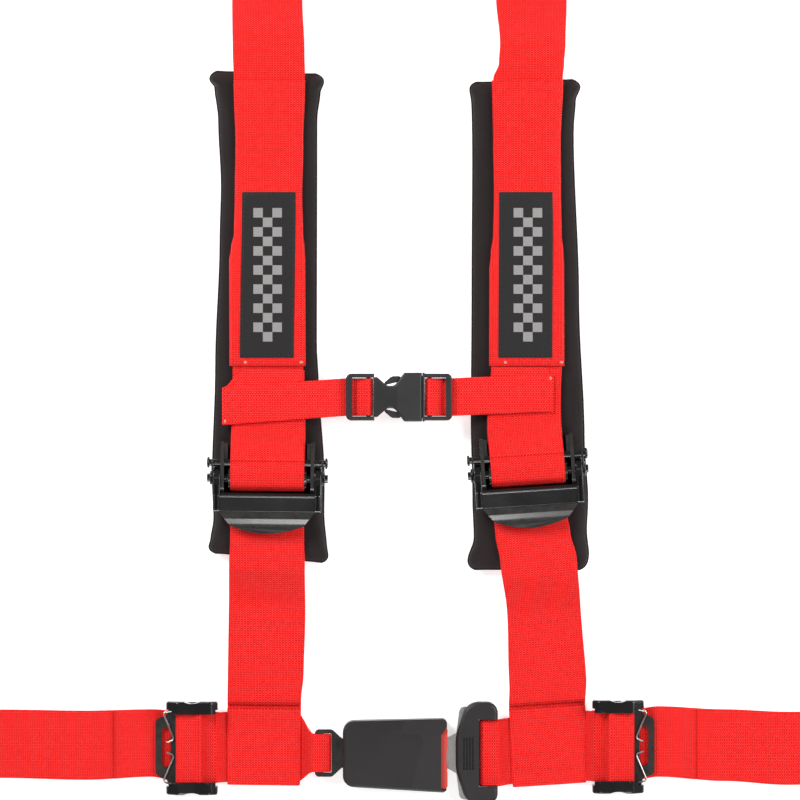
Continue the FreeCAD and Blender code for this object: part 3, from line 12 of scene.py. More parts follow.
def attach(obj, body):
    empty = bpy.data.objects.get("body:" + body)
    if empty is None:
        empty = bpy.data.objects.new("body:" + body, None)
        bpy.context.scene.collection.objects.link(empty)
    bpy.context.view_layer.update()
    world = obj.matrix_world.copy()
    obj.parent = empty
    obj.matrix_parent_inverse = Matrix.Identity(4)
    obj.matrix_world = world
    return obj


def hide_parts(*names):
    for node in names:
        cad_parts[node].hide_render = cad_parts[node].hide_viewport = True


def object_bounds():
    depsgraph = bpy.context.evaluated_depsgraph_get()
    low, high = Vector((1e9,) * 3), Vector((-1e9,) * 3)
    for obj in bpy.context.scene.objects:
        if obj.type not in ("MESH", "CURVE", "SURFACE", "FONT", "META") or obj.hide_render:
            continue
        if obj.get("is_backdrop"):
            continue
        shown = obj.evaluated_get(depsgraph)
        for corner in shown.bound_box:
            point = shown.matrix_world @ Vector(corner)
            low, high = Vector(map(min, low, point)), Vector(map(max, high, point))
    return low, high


MM = 0.001
SIDES = ("left", "right")

# ---- Sizes shared with the CAD model ----
WEB_WIDTH = 50.5
WEB_THICK = 1.5
STERNUM_WEB_WIDTH = 27.0
STERNUM_WEB_THICK = 1.2
LAYER_GAP = 0.4
SEWN_GAP = 0.1
FOLD_GAP = 0.3
LOOP_CLEAR = 0.3
SLOT_GAP = 0.1
SEWN_OVERLAP = 85.0
TAIL_LENGTH = 60.0
PLAN_TO_MODEL_Y = -429.1
SHOULDER_X = {"left": -94.4, "right": 91.2}
ADJUSTER_Y = {"left": 190.9, "right": 195.2}
ADJUSTER_TILT_DEG = {"left": -0.7, "right": 3.8}
SHOULDER_END_Y = 850.0
LAP_END_X = 452.0
SLIDE_X = {"left": -145.1, "right": 152.3}
LAP_TURN_DEG = {"left": 90.0, "right": -90.0}
LAP_SHIFT_Y = {"left": -2.2, "right": -1.2}
PAD_LENGTH = 352.0
PAD_THICK = 14.0
PAD_RAMP = 1.8 * PAD_THICK
PAD_END_GAP = 2.0
RAMP_R = 14.0
PAD_TOP_Y = {"left": 482.0, "right": 476.5}
PAD_TRAVEL = 25.0
SLEEVE_TOP_Y = 475.0
SLEEVE_BOTTOM_Y = 271.0
LABEL_WIDTH = 38.5
LABEL_LENGTH = 118.0
LABEL_ABOVE_SLEEVE_END = 6.0
DRUM_R = 7.5
WRAP_CLEAR = 0.35
GUIDE_PIN_ABOVE_DRUM = 3.5
GUIDE_PIN_Y = DRUM_R + GUIDE_PIN_ABOVE_DRUM
BASE_PLATE = 2.0
STRAP_BAR_Y = -21.5
STRAP_BAR_WIDTH = 6.0
BRACKET_BAR = 6.0
BRACKET_THICK = 3.0
SLIDE_PLATE = 2.0
SLIDE_PLATE_LOW_Y = -12.0
SLIDE_BAR_LOW_Y = 0.5
SLIDE_BAR_WIDTH = 9.0
SLIDE_BAR_THICK = 4.0
SLIDE_BAR_TRAVEL = 4.0
LATCH_Z = 8.0
LATCH_Y = -6.0
ANCHOR_LEFT_X = -61.0
ANCHOR_BAR = 6.0
ANCHOR_SLOT = 6.0
ANCHOR_THICK = 3.0
ANCHOR_SLOT_HALF = 14.0
TONGUE_BAR = 6.0
TONGUE_THICK = 2.5
COVER_RIGHT_X = 70.0
TONGUE_SLOT = 5.9
COVER_SLOT_HALF = 24.2
CLIP_Y = 248.8
CLIP_Z = 18.4
CLIP_LEFT_X = -38.6
CLIP_RIGHT_X = 37.2
CLIP_BAR = 4.5
CLIP_MID_BAR_R = 1.6
CLIP_MID_BAR_IN = 16.1
CLIP_BAR_UNDER = 0.4
CLIP_SLACK = 0.25
STERNUM_LIFT = 0.15
STERNUM_FOLD_X = -127.0
STERNUM_SEWN_X = 109.0

# ---- Levels that follow from the sizes ----
HALF_WEB = WEB_THICK / 2
TAIL_Z = PAD_THICK + LAYER_GAP + HALF_WEB
WRAP_R = DRUM_R + WRAP_CLEAR + HALF_WEB
MAIN_Z = TAIL_Z + WEB_THICK + LAYER_GAP
STRAP_TOP_Z = MAIN_Z + HALF_WEB
STRAP_BAR_Z = PAD_THICK + 2 * LAYER_GAP + WEB_THICK + WRAP_CLEAR + BASE_PLATE / 2
LOOP_R = math.hypot(BRACKET_BAR, BRACKET_THICK) / 2 + LOOP_CLEAR + HALF_WEB
JUNCTION_LAP_Z = WEB_THICK + LAYER_GAP + HALF_WEB
JUNCTION_TOP_Z = JUNCTION_LAP_Z + WEB_THICK + LAYER_GAP
SLIDE_PLATE_Z = 2 * WEB_THICK + SEWN_GAP + LAYER_GAP
OUTER_WRAP_R = (SLIDE_PLATE_Z + SLIDE_PLATE + LAYER_GAP) / 2
OUTER_TOP_Z = HALF_WEB + 2 * OUTER_WRAP_R
SLIDE_TAIL_Z = OUTER_TOP_Z + WEB_THICK + LAYER_GAP
SLIDE_WEB_Z = SLIDE_TAIL_Z + 2 * HALF_WEB + 2 * LAYER_GAP + SLIDE_BAR_THICK
SLIDE_WRAP_Y = SLIDE_BAR_LOW_Y + SLIDE_BAR_WIDTH + SLIDE_BAR_TRAVEL + LAYER_GAP + HALF_WEB

# ---- Webbing look ----
VISUAL_THICK = 1.3
STERNUM_VISUAL_THICK = 1.05
LABEL_VISUAL_THICK = 0.7
WEB_COLUMNS = 16
SELVEDGE_START = 0.96
SELVEDGE_FALL = 6
LIP_START = 0.9
LIP_SHARE = 0.1
WANDER_ACROSS = 0.06
WANDER_ALONG = 0.02
RIB_PITCH = 1.65
YARN_PITCH = 1.15
# Strength of the painted highlights on the webbing.
PAINTED_GLINT_STRENGTH = 0.7
WEB_RELIEF = 0.00035
PLASTIC_GRAIN = 0.00007
THREAD_R = 0.28
STITCH_LENGTH = 2.5
STITCH_GAP = 0.9
ARC_STEP = math.radians(15.0)
STRAIGHT_STEP = 3.0
TINY = 1e-6
TINY_RUN = 1e-5
TINY_TURN = 1e-4

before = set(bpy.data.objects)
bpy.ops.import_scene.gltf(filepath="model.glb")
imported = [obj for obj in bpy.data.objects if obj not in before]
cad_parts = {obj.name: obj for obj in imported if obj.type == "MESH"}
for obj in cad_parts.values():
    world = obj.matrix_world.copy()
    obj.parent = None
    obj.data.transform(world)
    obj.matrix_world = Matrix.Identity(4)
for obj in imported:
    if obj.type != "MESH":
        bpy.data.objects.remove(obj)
cad_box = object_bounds()


# ---- Paths and stations ----
def corner_arc(before, point, after, radius):
    """Points of the arc that rounds one corner of a flat path."""
    into = (point - before).normalized()
    out = (after - point).normalized()
    turn = into.angle(out)
    if radius < TINY or turn < TINY_TURN:
        return [point]
    reach = radius * math.tan(turn / 2)
    start = point - into * reach
    side = 1.0 if into.x * out.y - into.y * out.x > 0 else -1.0
    to_start = Vector((into.y, -into.x)) * side
    centre = start - to_start * radius
    count = max(2, math.ceil(turn / ARC_STEP))
    arc = []
    for index in range(count + 1):
        angle = side * turn * index / count
        cos, sin = math.cos(angle), math.sin(angle)
        spoke = Vector((to_start.x * cos - to_start.y * sin, to_start.x * sin + to_start.y * cos))
        arc.append(centre + spoke * radius)
    return arc


def rounded_path(points, radii, step=STRAIGHT_STEP):
    """Side-view path of (y, z) points with rounded corners, divided into short runs."""
    corners = [Vector(point) for point in points]
    bends = [corners[0]]
    for index in range(1, len(corners) - 1):
        bends += corner_arc(corners[index - 1], corners[index], corners[index + 1], radii[index])
    bends.append(corners[-1])
    path = [bends[0]]
    for point in bends[1:]:
        run = point - path[-1]
        if run.length < TINY_RUN:
            continue
        start = path[-1].copy()
        count = max(1, math.ceil(run.length / step))
        path += [start + run * (index / count) for index in range(1, count + 1)]
    return path


def between(pair, share):
    """Value part of the way from the first of a pair to the second."""
    return pair[0] + (pair[1] - pair[0]) * share


def smooth_step(share):
    """Ease from 0 to 1 with level ends."""
    return share * share * (3 - 2 * share)


def smooth_table(stations):
    """Function that runs smoothly through (position, value, value...) stations."""
    ordered = sorted(stations)

    def value_at(position):
        if position <= ordered[0][0]:
            return ordered[0][1:]
        if position >= ordered[-1][0]:
            return ordered[-1][1:]
        for low, high in zip(ordered, ordered[1:]):
            if position <= high[0]:
                ease = smooth_step((position - low[0]) / (high[0] - low[0]))
                return tuple(a + (b - a) * ease for a, b in zip(low[1:], high[1:]))
        return ordered[-1][1:]

    return value_at


def station_edges(stations):
    """Edges read from (y, left, right) stations along the strap."""
    table = smooth_table(stations)
    return lambda y, s: table(y)


def creases(stations, above_z):
    """Rise of the upper layer at (position, rise) stations along the strap."""
    table = smooth_table(stations)
    return lambda y, z: table(y)[0] if z > above_z else 0.0


def placing(x, y, degrees):
    """Function that turns a local point about Z and moves it to a plan position."""
    cos, sin = math.cos(math.radians(degrees)), math.sin(math.radians(degrees))

    def place(point):
        return Vector((x + point.x * cos - point.y * sin,
                       y + PLAN_TO_MODEL_Y + point.x * sin + point.y * cos,
                       point.z))

    return place


# ---- Mesh helpers ----
def modified_mesh(obj):
    """Copy of an object's mesh with its modifiers applied."""
    return bpy.data.meshes.new_from_object(obj.evaluated_get(bpy.context.evaluated_depsgraph_get()))


def mesh_object(name, vertices, faces, weave=None):
    """Smooth mesh object from millimetre points, with weave coordinates if given."""
    mesh = bpy.data.meshes.new(name)
    mesh.from_pydata([tuple(point * MM) for point in vertices], [], faces)
    if weave:
        attribute = mesh.attributes.new("weave", "FLOAT_VECTOR", "POINT")
        for index, value in enumerate(weave):
            attribute.data[index].vector = value
    mesh.validate()
    mesh.shade_smooth()
    obj = bpy.data.objects.new(name, mesh)
    bpy.context.scene.collection.objects.link(obj)
    return obj


def web_section(thick):
    """Closed cross-section of a web: (share across from -1 to 1, height) with round selvedges."""
    half = thick / 2
    shares = [math.sin(math.pi / 2 * (2 * index / WEB_COLUMNS - 1)) for index in range(1, WEB_COLUMNS)]
    top = [(share, half * (1 - max(0.0, abs(share) - SELVEDGE_START) * SELVEDGE_FALL)) for share in shares]
    ring = [(-1.0, 0.0)] + top + [(1.0, 0.0)] + [(share, -height) for share, height in reversed(top)]
    return ring


def tube_faces(rings, size, closed=False):
    """Faces between rings of points that follow each other along a tube."""
    faces = []
    for ring in range(rings if closed else rings - 1):
        near, far = ring * size, (ring + 1) % rings * size
        for spoke in range(size):
            after = (spoke + 1) % size
            faces.append((near + spoke, near + after, far + after, far + spoke))
    return faces


def path_frames(path):
    """(point, normal, distance along) for each point of a side-view path."""
    frames = []
    travelled = 0.0
    for index, point in enumerate(path):
        before = path[max(index - 1, 0)]
        after = path[min(index + 1, len(path) - 1)]
        along = (after - before).normalized()
        if index:
            travelled += (point - path[index - 1]).length
        frames.append((point, Vector((-along.y, along.x)), travelled))
    return frames


def web(name, path, edges, place, thick=VISUAL_THICK, crown=None, lip=0.0, ruffle=0.12, folds=None):
    """Woven strap as a closed thin mesh along a side-view path.

    edges(y, s) gives the left and right edge, crown(y) lifts the middle, lip turns the
    last few millimetres of both edges down, and folds(y, z) raises or sinks the web."""
    ring = web_section(thick)
    frames = path_frames(path)
    vertices, weave = [], []
    for point, normal, travelled in frames:
        left, right = edges(point.x, travelled)
        lift = crown(point.x) if crown else 0.0
        fold = folds(point.x, point.y) if folds else 0.0
        for share, height in ring:
            across = (left + right) / 2 + share * (right - left) / 2
            spot = Vector((across * WANDER_ACROSS, travelled * WANDER_ALONG, len(name)))
            wander = ruffle * noise.noise(spot)
            turned = lip * max(0.0, abs(share) - LIP_START) / LIP_SHARE
            rise = height + wander + fold + lift * (1 - share * share) - turned
            local = Vector((across, point.x + normal.x * rise, point.y + normal.y * rise))
            vertices.append(place(local))
            weave.append((across, travelled, height))
    size = len(ring)
    faces = [(a, d, c, b) for a, b, c, d in tube_faces(len(frames), size)]
    last = (len(frames) - 1) * size
    half = size // 2
    for column in range(half):
        other = size - column
        first_row = (column, column + 1, other - 1, other % size)
        faces.append(tuple(dict.fromkeys(first_row)))
        faces.append(tuple(last + index for index in reversed(tuple(dict.fromkeys(first_row)))))
    obj = mesh_object(name, vertices, faces, weave)
    obj["length"] = frames[-1][2]
    return obj


def finish_web(obj, body, node, material):
    """Ride, replace and paint one strap."""
    obj.data.materials.append(material)
    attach(obj, body)
    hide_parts(node)
    return obj


def thread_run(start, end, up, radius):
    """One stitch: a thread that rises out of the web, lies on it and dives back in."""
    along = end - start
    side = along.cross(up).normalized()
    ring_count, spokes = 5, 6
    vertices = []
    for index in range(ring_count):
        share = index / (ring_count - 1)
        sink = radius * 1.1 * (2 * share - 1) ** 2
        thickness = radius * (1 - 0.45 * abs(2 * share - 1))
        middle = start + along * share + up * (radius * 0.45 - sink)
        for spoke in range(spokes):
            angle = 2 * math.pi * spoke / spokes
            vertices.append(middle + (side * math.cos(angle) + up * math.sin(angle)) * thickness)
    faces = [tuple(range(spokes))[::-1]] + tube_faces(ring_count, spokes)
    last = (ring_count - 1) * spokes
    faces.append(tuple(last + spoke for spoke in range(spokes)))
    return vertices, faces


def stitches(name, lines, body, material, radius=THREAD_R):
    """Rows of thread along 3-D lines [(start, end, up)], as one piece."""
    vertices, faces = [], []
    for start, end, up in lines:
        run = end - start
        count = max(1, int(run.length / (STITCH_LENGTH + STITCH_GAP)))
        for index in range(count):
            share = (index + 0.5) / count
            half = run.normalized() * (STITCH_LENGTH / 2)
            middle = start + run * share
            points, sides = thread_run(middle - half, middle + half, up, radius)
            base = len(vertices)
            vertices += points
            faces += [tuple(base + corner for corner in side) for side in sides]
    obj = mesh_object(name, vertices, faces)
    obj.data.materials.append(material)
    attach(obj, body)
    return obj


def level_line(place, y0, x0, y1, x1, z0, z1=None):
    """Stitch line between two local plan points on top of a level web."""
    return (place(Vector((x0, y0, z0))), place(Vector((x1, y1, z0 if z1 is None else z1))), Vector((0, 0, 1)))


def cross_rows(place, edges, rows, inset):
    """Stitch lines across a web at each (y, z) row, kept in from its edges."""
    lines = []
    for y, z in rows:
        left, right = edges(y, 0.0)
        lines.append(level_line(place, y, left + inset, y, right - inset, z))
    return lines


def bartack(place, x, y, z, width, length):
    """Short dense zigzag that locks the end of a seam."""
    count = 5
    lines = []
    for index in range(count):
        across = y + (index - (count - 1) / 2) * width / count
        lines.append(level_line(place, across, x - length / 2, across, x + length / 2, z))
    return lines


# ---- Materials ----
class Graph:
    """Short way to write a shader's nodes."""

    def __init__(self, name):
        self.material = bpy.data.materials.new(name)
        self.material.use_nodes = True
        self.tree = self.material.node_tree
        self.shader = self.tree.nodes["Principled BSDF"]

    def node(self, kind, **values):
        made = self.tree.nodes.new(kind)
        for key, value in values.items():
            setattr(made, key, value)
        return made

    def feed(self, socket, value):
        if isinstance(value, bpy.types.NodeSocket):
            self.tree.links.new(value, socket)
        else:
            socket.default_value = value

    def maths(self, operation, first, second=0.0):
        made = self.node("ShaderNodeMath", operation=operation)
        self.feed(made.inputs[0], first)
        self.feed(made.inputs[1], second)
        return made.outputs[0]

    def times(self, first, second):
        return self.maths("MULTIPLY", first, second)

    def plus(self, first, second):
        return self.maths("ADD", first, second)

    def cell(self, value, size):
        """Number of the cell of a given size that a value falls in."""
        return self.maths("FLOOR", self.maths("DIVIDE", value, size))

    def mix(self, factor, first, second):
        made = self.node("ShaderNodeMix", data_type="RGBA")
        self.feed(made.inputs[0], factor)
        self.feed(made.inputs[6], first)
        self.feed(made.inputs[7], second)
        return made.outputs[2]

    def noise(self, scale, detail, roughness=0.55, stretch=None):
        made = self.node("ShaderNodeTexNoise")
        made.inputs["Scale"].default_value = scale
        made.inputs["Detail"].default_value = detail
        made.inputs["Roughness"].default_value = roughness
        source = self.object_place()
        if stretch:
            mapping = self.node("ShaderNodeMapping")
            mapping.inputs["Scale"].default_value = stretch
            self.feed(mapping.inputs["Vector"], source)
            source = mapping.outputs[0]
        self.feed(made.inputs["Vector"], source)
        return made.outputs[0]

    def object_place(self):
        return self.node("ShaderNodeTexCoord").outputs["Object"]

    def weave(self):
        """Across and along coordinates in millimetres."""
        source = self.node("ShaderNodeAttribute", attribute_name="weave")
        split = self.node("ShaderNodeSeparateXYZ")
        self.feed(split.inputs[0], source.outputs["Vector"])
        return split.outputs[0], split.outputs[1]

    def wave(self, value, pitch):
        """Rounded rib from 0 to 1 that repeats every pitch."""
        turns = self.times(value, math.pi / pitch)
        return self.maths("ABSOLUTE", self.maths("SINE", turns))

    def bump(self, height, distance, strength):
        made = self.node("ShaderNodeBump")
        made.inputs["Strength"].default_value = strength
        made.inputs["Distance"].default_value = distance
        self.feed(made.inputs["Height"], height)
        self.feed(self.shader.inputs["Normal"], made.outputs[0])

    def colour(self, value):
        self.feed(self.shader.inputs["Base Color"], value)

    def set(self, **values):
        for key, value in values.items():
            self.feed(self.shader.inputs[key.replace("_", " ")], value)
        return self.material


def web_material(name, deep, bright, glint_colour, rib=RIB_PITCH, yarn=YARN_PITCH):
    """Polyester web: cross ribs and offset yarn floats, painted shade between the ribs, painted highlights as
    pale glints on the float tops, slight soiling.
    """
    graph = Graph(name)
    across, along = graph.weave()
    column = graph.cell(across, yarn)
    odd = graph.maths("ABSOLUTE", graph.maths("MODULO", column, 2.0))
    shifted = graph.plus(along, graph.times(odd, rib / 2))
    ribs = graph.wave(along, rib)
    floats = graph.times(graph.wave(shifted, rib), graph.wave(across, yarn))
    # Mask of the painted highlights: the very tops of the yarn floats.
    glint_mask = graph.maths("POWER", floats, 5.0)
    # Painted shade: the colour runs from deep in the grooves between the ribs to bright on the raised ribs
    # and floats.
    tone = graph.plus(graph.times(ribs, 0.75), graph.times(floats, 0.25))
    body = graph.mix(tone, deep, bright)
    # Painted highlights: pale glints on the float tops, mixed over the shaded ribs.
    painted_glints = graph.times(glint_mask, graph.times(graph.noise(260.0, 2.0), PAINTED_GLINT_STRENGTH))
    coloured = graph.mix(painted_glints, body, glint_colour)
    cloudy = graph.times(graph.noise(24.0, 4.0), 0.16)
    graph.colour(graph.mix(cloudy, coloured, deep))
    fibre = graph.times(graph.noise(2600.0, 2.0), 0.25)
    height = graph.plus(graph.plus(graph.times(ribs, 0.6), floats), fibre)
    graph.bump(height, WEB_RELIEF, 0.9)
    rough = graph.plus(graph.times(tone, -0.12), 0.72)
    return graph.set(Roughness=rough, Sheen_Weight=0.02, Sheen_Roughness=0.5, Specular_IOR_Level=0.12)


def thread_material(name, colour):
    """Twisted sewing thread."""
    graph = Graph(name)
    twist = graph.noise(900.0, 2.0)
    shade = tuple(channel * 0.6 for channel in colour[:3]) + (1.0,)
    graph.colour(graph.mix(twist, shade, colour))
    graph.bump(twist, 0.0001, 0.6)
    return graph.set(Roughness=0.6, Sheen_Weight=0.1)


def suede_material():
    """Brushed microsuede: mottled nap with soft sheen and fine pile."""
    graph = Graph("pad_suede")
    nap = graph.noise(38.0, 6.0, 0.65)
    pile = graph.noise(1500.0, 3.0, 0.7)
    strokes = graph.noise(90.0, 3.0, stretch=(1.0, 0.25, 1.0))
    tone = graph.plus(graph.times(nap, 0.6), graph.times(strokes, 0.4))
    colour = graph.mix(tone, (0.0050, 0.0032, 0.0032, 1.0), (0.024, 0.0165, 0.0165, 1.0))
    graph.colour(graph.mix(graph.times(pile, 0.3), colour, (0.05, 0.04, 0.04, 1.0)))
    graph.bump(graph.plus(graph.times(pile, 0.5), nap), 0.0005, 0.5)
    return graph.set(Roughness=0.92, Sheen_Weight=0.14, Sheen_Roughness=0.45, Specular_IOR_Level=0.15)


def label_material():
    """Black woven patch with a generic grey chequer band in satin thread."""
    graph = Graph("label_woven")
    across, along = graph.weave()
    cell = 6.8
    half_columns = 1.5 * cell
    rows_half = 7 * cell
    columns = graph.cell(graph.plus(across, half_columns), cell)
    rows = graph.cell(graph.plus(along, rows_half), cell)
    parity = graph.maths("ABSOLUTE", graph.maths("MODULO", graph.plus(columns, rows), 2.0))
    inside_x = graph.maths("LESS_THAN", graph.maths("ABSOLUTE", across), half_columns)
    inside_y = graph.maths("LESS_THAN", graph.maths("ABSOLUTE", along), rows_half)
    shape = graph.times(parity, graph.times(inside_x, inside_y))
    twill = graph.wave(graph.plus(across, along), 0.55)
    dark = graph.mix(twill, (0.004, 0.004, 0.004, 1.0), (0.016, 0.014, 0.014, 1.0))
    satin = graph.mix(twill, (0.19, 0.18, 0.18, 1.0), (0.33, 0.32, 0.32, 1.0))
    graph.colour(graph.mix(shape, dark, satin))
    graph.bump(graph.plus(graph.times(twill, 0.4), shape), 0.0002, 0.7)
    return graph.set(Roughness=0.62, Sheen_Weight=0.1, Specular_IOR_Level=0.3)


def paint_material():
    """Semi-gloss black paint on steel: faint orange peel, smudges and worn edges."""
    graph = Graph("steel_black_paint")
    smudge = graph.noise(45.0, 5.0, 0.6)
    peel = graph.noise(900.0, 2.0, 0.4)
    edge = graph.node("ShaderNodeNewGeometry").outputs["Pointiness"]
    worn = graph.times(graph.maths("GREATER_THAN", edge, 0.58), graph.noise(160.0, 3.0))
    colour = graph.mix(smudge, (0.002, 0.002, 0.0022, 1.0), (0.006, 0.0055, 0.0055, 1.0))
    graph.colour(graph.mix(graph.times(worn, 0.25), colour, (0.18, 0.17, 0.16, 1.0)))
    graph.bump(peel, 0.00006, 0.35)
    rough = graph.plus(graph.times(smudge, 0.14), 0.13)
    return graph.set(Roughness=rough, Coat_Weight=0.25, Coat_Roughness=0.08, Specular_IOR_Level=0.55)


def bright_steel_material(name="steel_bright_brushed", stretch=(14.0, 1.0, 1.0)):
    """Bright steel with fine drawn or brushed lines."""
    graph = Graph(name)
    lines = graph.noise(420.0, 3.0, 0.6, stretch=stretch)
    stain = graph.noise(60.0, 4.0)
    colour = graph.mix(stain, (0.44, 0.43, 0.42, 1.0), (0.68, 0.67, 0.66, 1.0))
    graph.colour(colour)
    graph.bump(lines, 0.00004, 0.4)
    rough = graph.plus(graph.times(lines, 0.2), 0.2)
    return graph.set(Metallic=1.0, Roughness=rough)


def plastic_material(name, low, high, rough_low=0.36):
    """Moulded plastic: spark-eroded grain, cloudy tone and slightly polished patches."""
    graph = Graph(name)
    leather = graph.node("ShaderNodeTexVoronoi")
    leather.inputs["Scale"].default_value = 1500.0
    graph.feed(leather.inputs["Vector"], graph.object_place())
    fine = graph.noise(2400.0, 2.0)
    cloud = graph.noise(30.0, 4.0)
    edge = graph.node("ShaderNodeNewGeometry").outputs["Pointiness"]
    rub = graph.times(graph.maths("GREATER_THAN", edge, 0.56), 0.18)
    colour = graph.mix(cloud, low, high)
    light = tuple(min(1.0, channel * 2.2) for channel in high[:3]) + (1.0,)
    graph.colour(graph.mix(rub, colour, light))
    graph.bump(graph.plus(leather.outputs[0], fine), PLASTIC_GRAIN, 0.6)
    rough = graph.plus(graph.times(cloud, 0.2), rough_low)
    return graph.set(Roughness=rough, Specular_IOR_Level=0.45)


def floor_material():
    """Matt white studio floor with the faintest tooth."""
    graph = Graph("studio_floor")
    tooth = graph.noise(400.0, 2.0)
    graph.colour(graph.mix(tooth, (0.93, 0.93, 0.93, 1.0), (0.95, 0.95, 0.95, 1.0)))
    return graph.set(Roughness=0.95, Specular_IOR_Level=0.1, Emission_Strength=0.55)


# Pale colour of the painted highlights on the webbing.
PAINTED_GLINT = (1.0, 0.30, 0.26, 1.0)
RED_WEB = web_material("webbing_red", (0.62, 0.003, 0.003, 1.0), (1.0, 0.015, 0.014, 1.0), PAINTED_GLINT)
RED_STERNUM_WEB = web_material("webbing_red_narrow", (0.70, 0.006, 0.006, 1.0), (1.0, 0.018, 0.017, 1.0),
                               PAINTED_GLINT, rib=1.9, yarn=1.3)
RED_THREAD = thread_material("thread_red", (0.72, 0.02, 0.018, 1.0))
PALE_THREAD = thread_material("thread_pale", (0.85, 0.34, 0.24, 1.0))
BLACK_THREAD = thread_material("thread_black", (0.02, 0.02, 0.02, 1.0))
SUEDE = suede_material()
LABEL = label_material()
PAINT = paint_material()
BRIGHT = bright_steel_material()
WIRE = bright_steel_material("spring_wire", (1.0, 1.0, 6.0))
BLACK_PLASTIC = plastic_material("plastic_black_grained", (0.008, 0.0066, 0.0068, 1.0),
                                 (0.017, 0.0142, 0.0146, 1.0))
CLIP_PLASTIC = plastic_material("plastic_black_clip", (0.012, 0.012, 0.013, 1.0),
                                (0.024, 0.023, 0.024, 1.0), 0.32)
RED_PLASTIC = plastic_material("plastic_red_grained", (0.46, 0.030, 0.022, 1.0),
                               (0.60, 0.050, 0.036, 1.0), 0.4)


# ---- Straps ----
def end_loop(bar_y):
    """Side-view points and corner radii of a strap end round its bracket bar."""
    top = HALF_WEB + 2 * LOOP_R
    sewn_z = WEB_THICK + SEWN_GAP + HALF_WEB
    points = [(bar_y + LOOP_R, HALF_WEB), (bar_y + LOOP_R, top), (bar_y - LOOP_R - 2.0, top),
              (bar_y - 24.0, sewn_z), (bar_y - SEWN_OVERLAP, sewn_z)]
    return points, [LOOP_R, LOOP_R, 5.0, 12.0, 0.0]


def end_loop_stitches(place, bar_y):
    """Box of stitching with a cross on the sewn end of a loop."""
    z = WEB_THICK + SEWN_GAP + WEB_THICK
    low, high = bar_y - SEWN_OVERLAP + 4.0, bar_y - 28.0
    edge = WEB_WIDTH / 2 - 5.0
    lines = []
    for y in (low, high, (low + high) / 2):
        lines.append(level_line(place, y, -edge, y, edge, z))
    for x in (-edge, edge):
        lines.append(level_line(place, low, x, high, x, z))
    lines.append(level_line(place, low, -edge, (low + high) / 2, edge, z))
    lines.append(level_line(place, low, edge, (low + high) / 2, -edge, z))
    return lines


def shoulder_place(side):
    """Placing of a shoulder strap whose lower part leans with its adjuster."""
    base = placing(SHOULDER_X[side], ADJUSTER_Y[side], 0.0)
    tilt = math.radians(ADJUSTER_TILT_DEG[side])
    lean_end, straight_from, lean_share = 30.0, 95.0, 0.5

    def place(point):
        share = min(1.0, max(0.0, (point.y - lean_end) / (straight_from - lean_end)))
        angle = tilt * (1 - smooth_step(share))
        cos, sin = math.cos(angle), math.sin(angle)
        reach = min(point.y, lean_end)
        beyond = point.y - reach
        x = point.x * cos - reach * sin
        return base(Vector((x - beyond * sin * lean_share, point.x * sin + reach * cos + beyond, point.z)))

    return place


SHOULDER_EDGES = {
    "left": [(-20, -26.2, 26.2), (30, -26.4, 26.6), (80, -25.2, 25.2), (110, -22, 22),
             (270, -22.4, 23.4), (286, -24.4, 26.6), (305, -25, 26.2), (345, -25.9, 24.4),
             (420, -25.25, 25.25)],
    "right": [(-20, -26.2, 26.2), (30, -27, 26), (80, -25.2, 25.2), (110, -22, 22),
              (262, -23, 23), (281, -24.6, 25), (292, -20.6, 26), (306, -19.8, 27),
              (340, -22.3, 28.4), (420, -25.25, 25.25)],
}


def shoulder_strap(side):
    """Adjustable shoulder web: tail, wrap on the drum, run over the pad, end loop."""
    above = ADJUSTER_Y[side]
    flat_end = PAD_TOP_Y[side] + PAD_TRAVEL + 3.0 - above
    top_z = TAIL_Z + 2 * WRAP_R
    loop, loop_radii = end_loop(SHOULDER_END_Y - above)
    points = [(TAIL_LENGTH, TAIL_Z), (-WRAP_R, TAIL_Z), (-WRAP_R, top_z), (GUIDE_PIN_Y + 1.0, top_z),
              (34.0, MAIN_Z), (flat_end, MAIN_Z), (flat_end + 32.0, HALF_WEB)] + loop
    radii = [0.0, WRAP_R, WRAP_R, 4.0, 6.0, 20.0, 20.0] + loop_radii
    place = shoulder_place(side)
    name = side + "_shoulder_web"
    roll = creases([(-9.0, 0.0), (-2.0, 0.8), (4.5, 2.4), (8.6, 1.6), (10.8, -0.2), (13.0, 1.5), (18.5, 2.6),
                    (27.0, 1.8), (38.0, 0.4), (60.0, 0.0)], MAIN_Z - 0.2)
    path = rounded_path(points, radii, 1.4)
    obj = web(name, path, station_edges(SHOULDER_EDGES[side]), place, folds=roll)
    lines = end_loop_stitches(place, SHOULDER_END_Y - above)
    thread = stitches(side + "_shoulder_web_stitches", lines, side + "_side", RED_THREAD)
    finish_web(obj, side + "_side", side + "_shoulder_strap", RED_WEB)


SLEEVE_EDGES = {
    "left": [(271, -27.4, 27), (346, -27.6, 26.8), (356, -26.2, 26.2), (366, -24.2, 25.2),
             (392, -23.6, 24.6), (430, -23.2, 25.4), (475, -24.6, 26.8)],
    "right": [(271, -27.6, 26.2), (340, -27.4, 26), (352, -26.4, 25.6), (364, -24.8, 24.4),
              (392, -24.2, 23.8), (430, -24.8, 23.6), (475, -25.6, 25.4)],
}


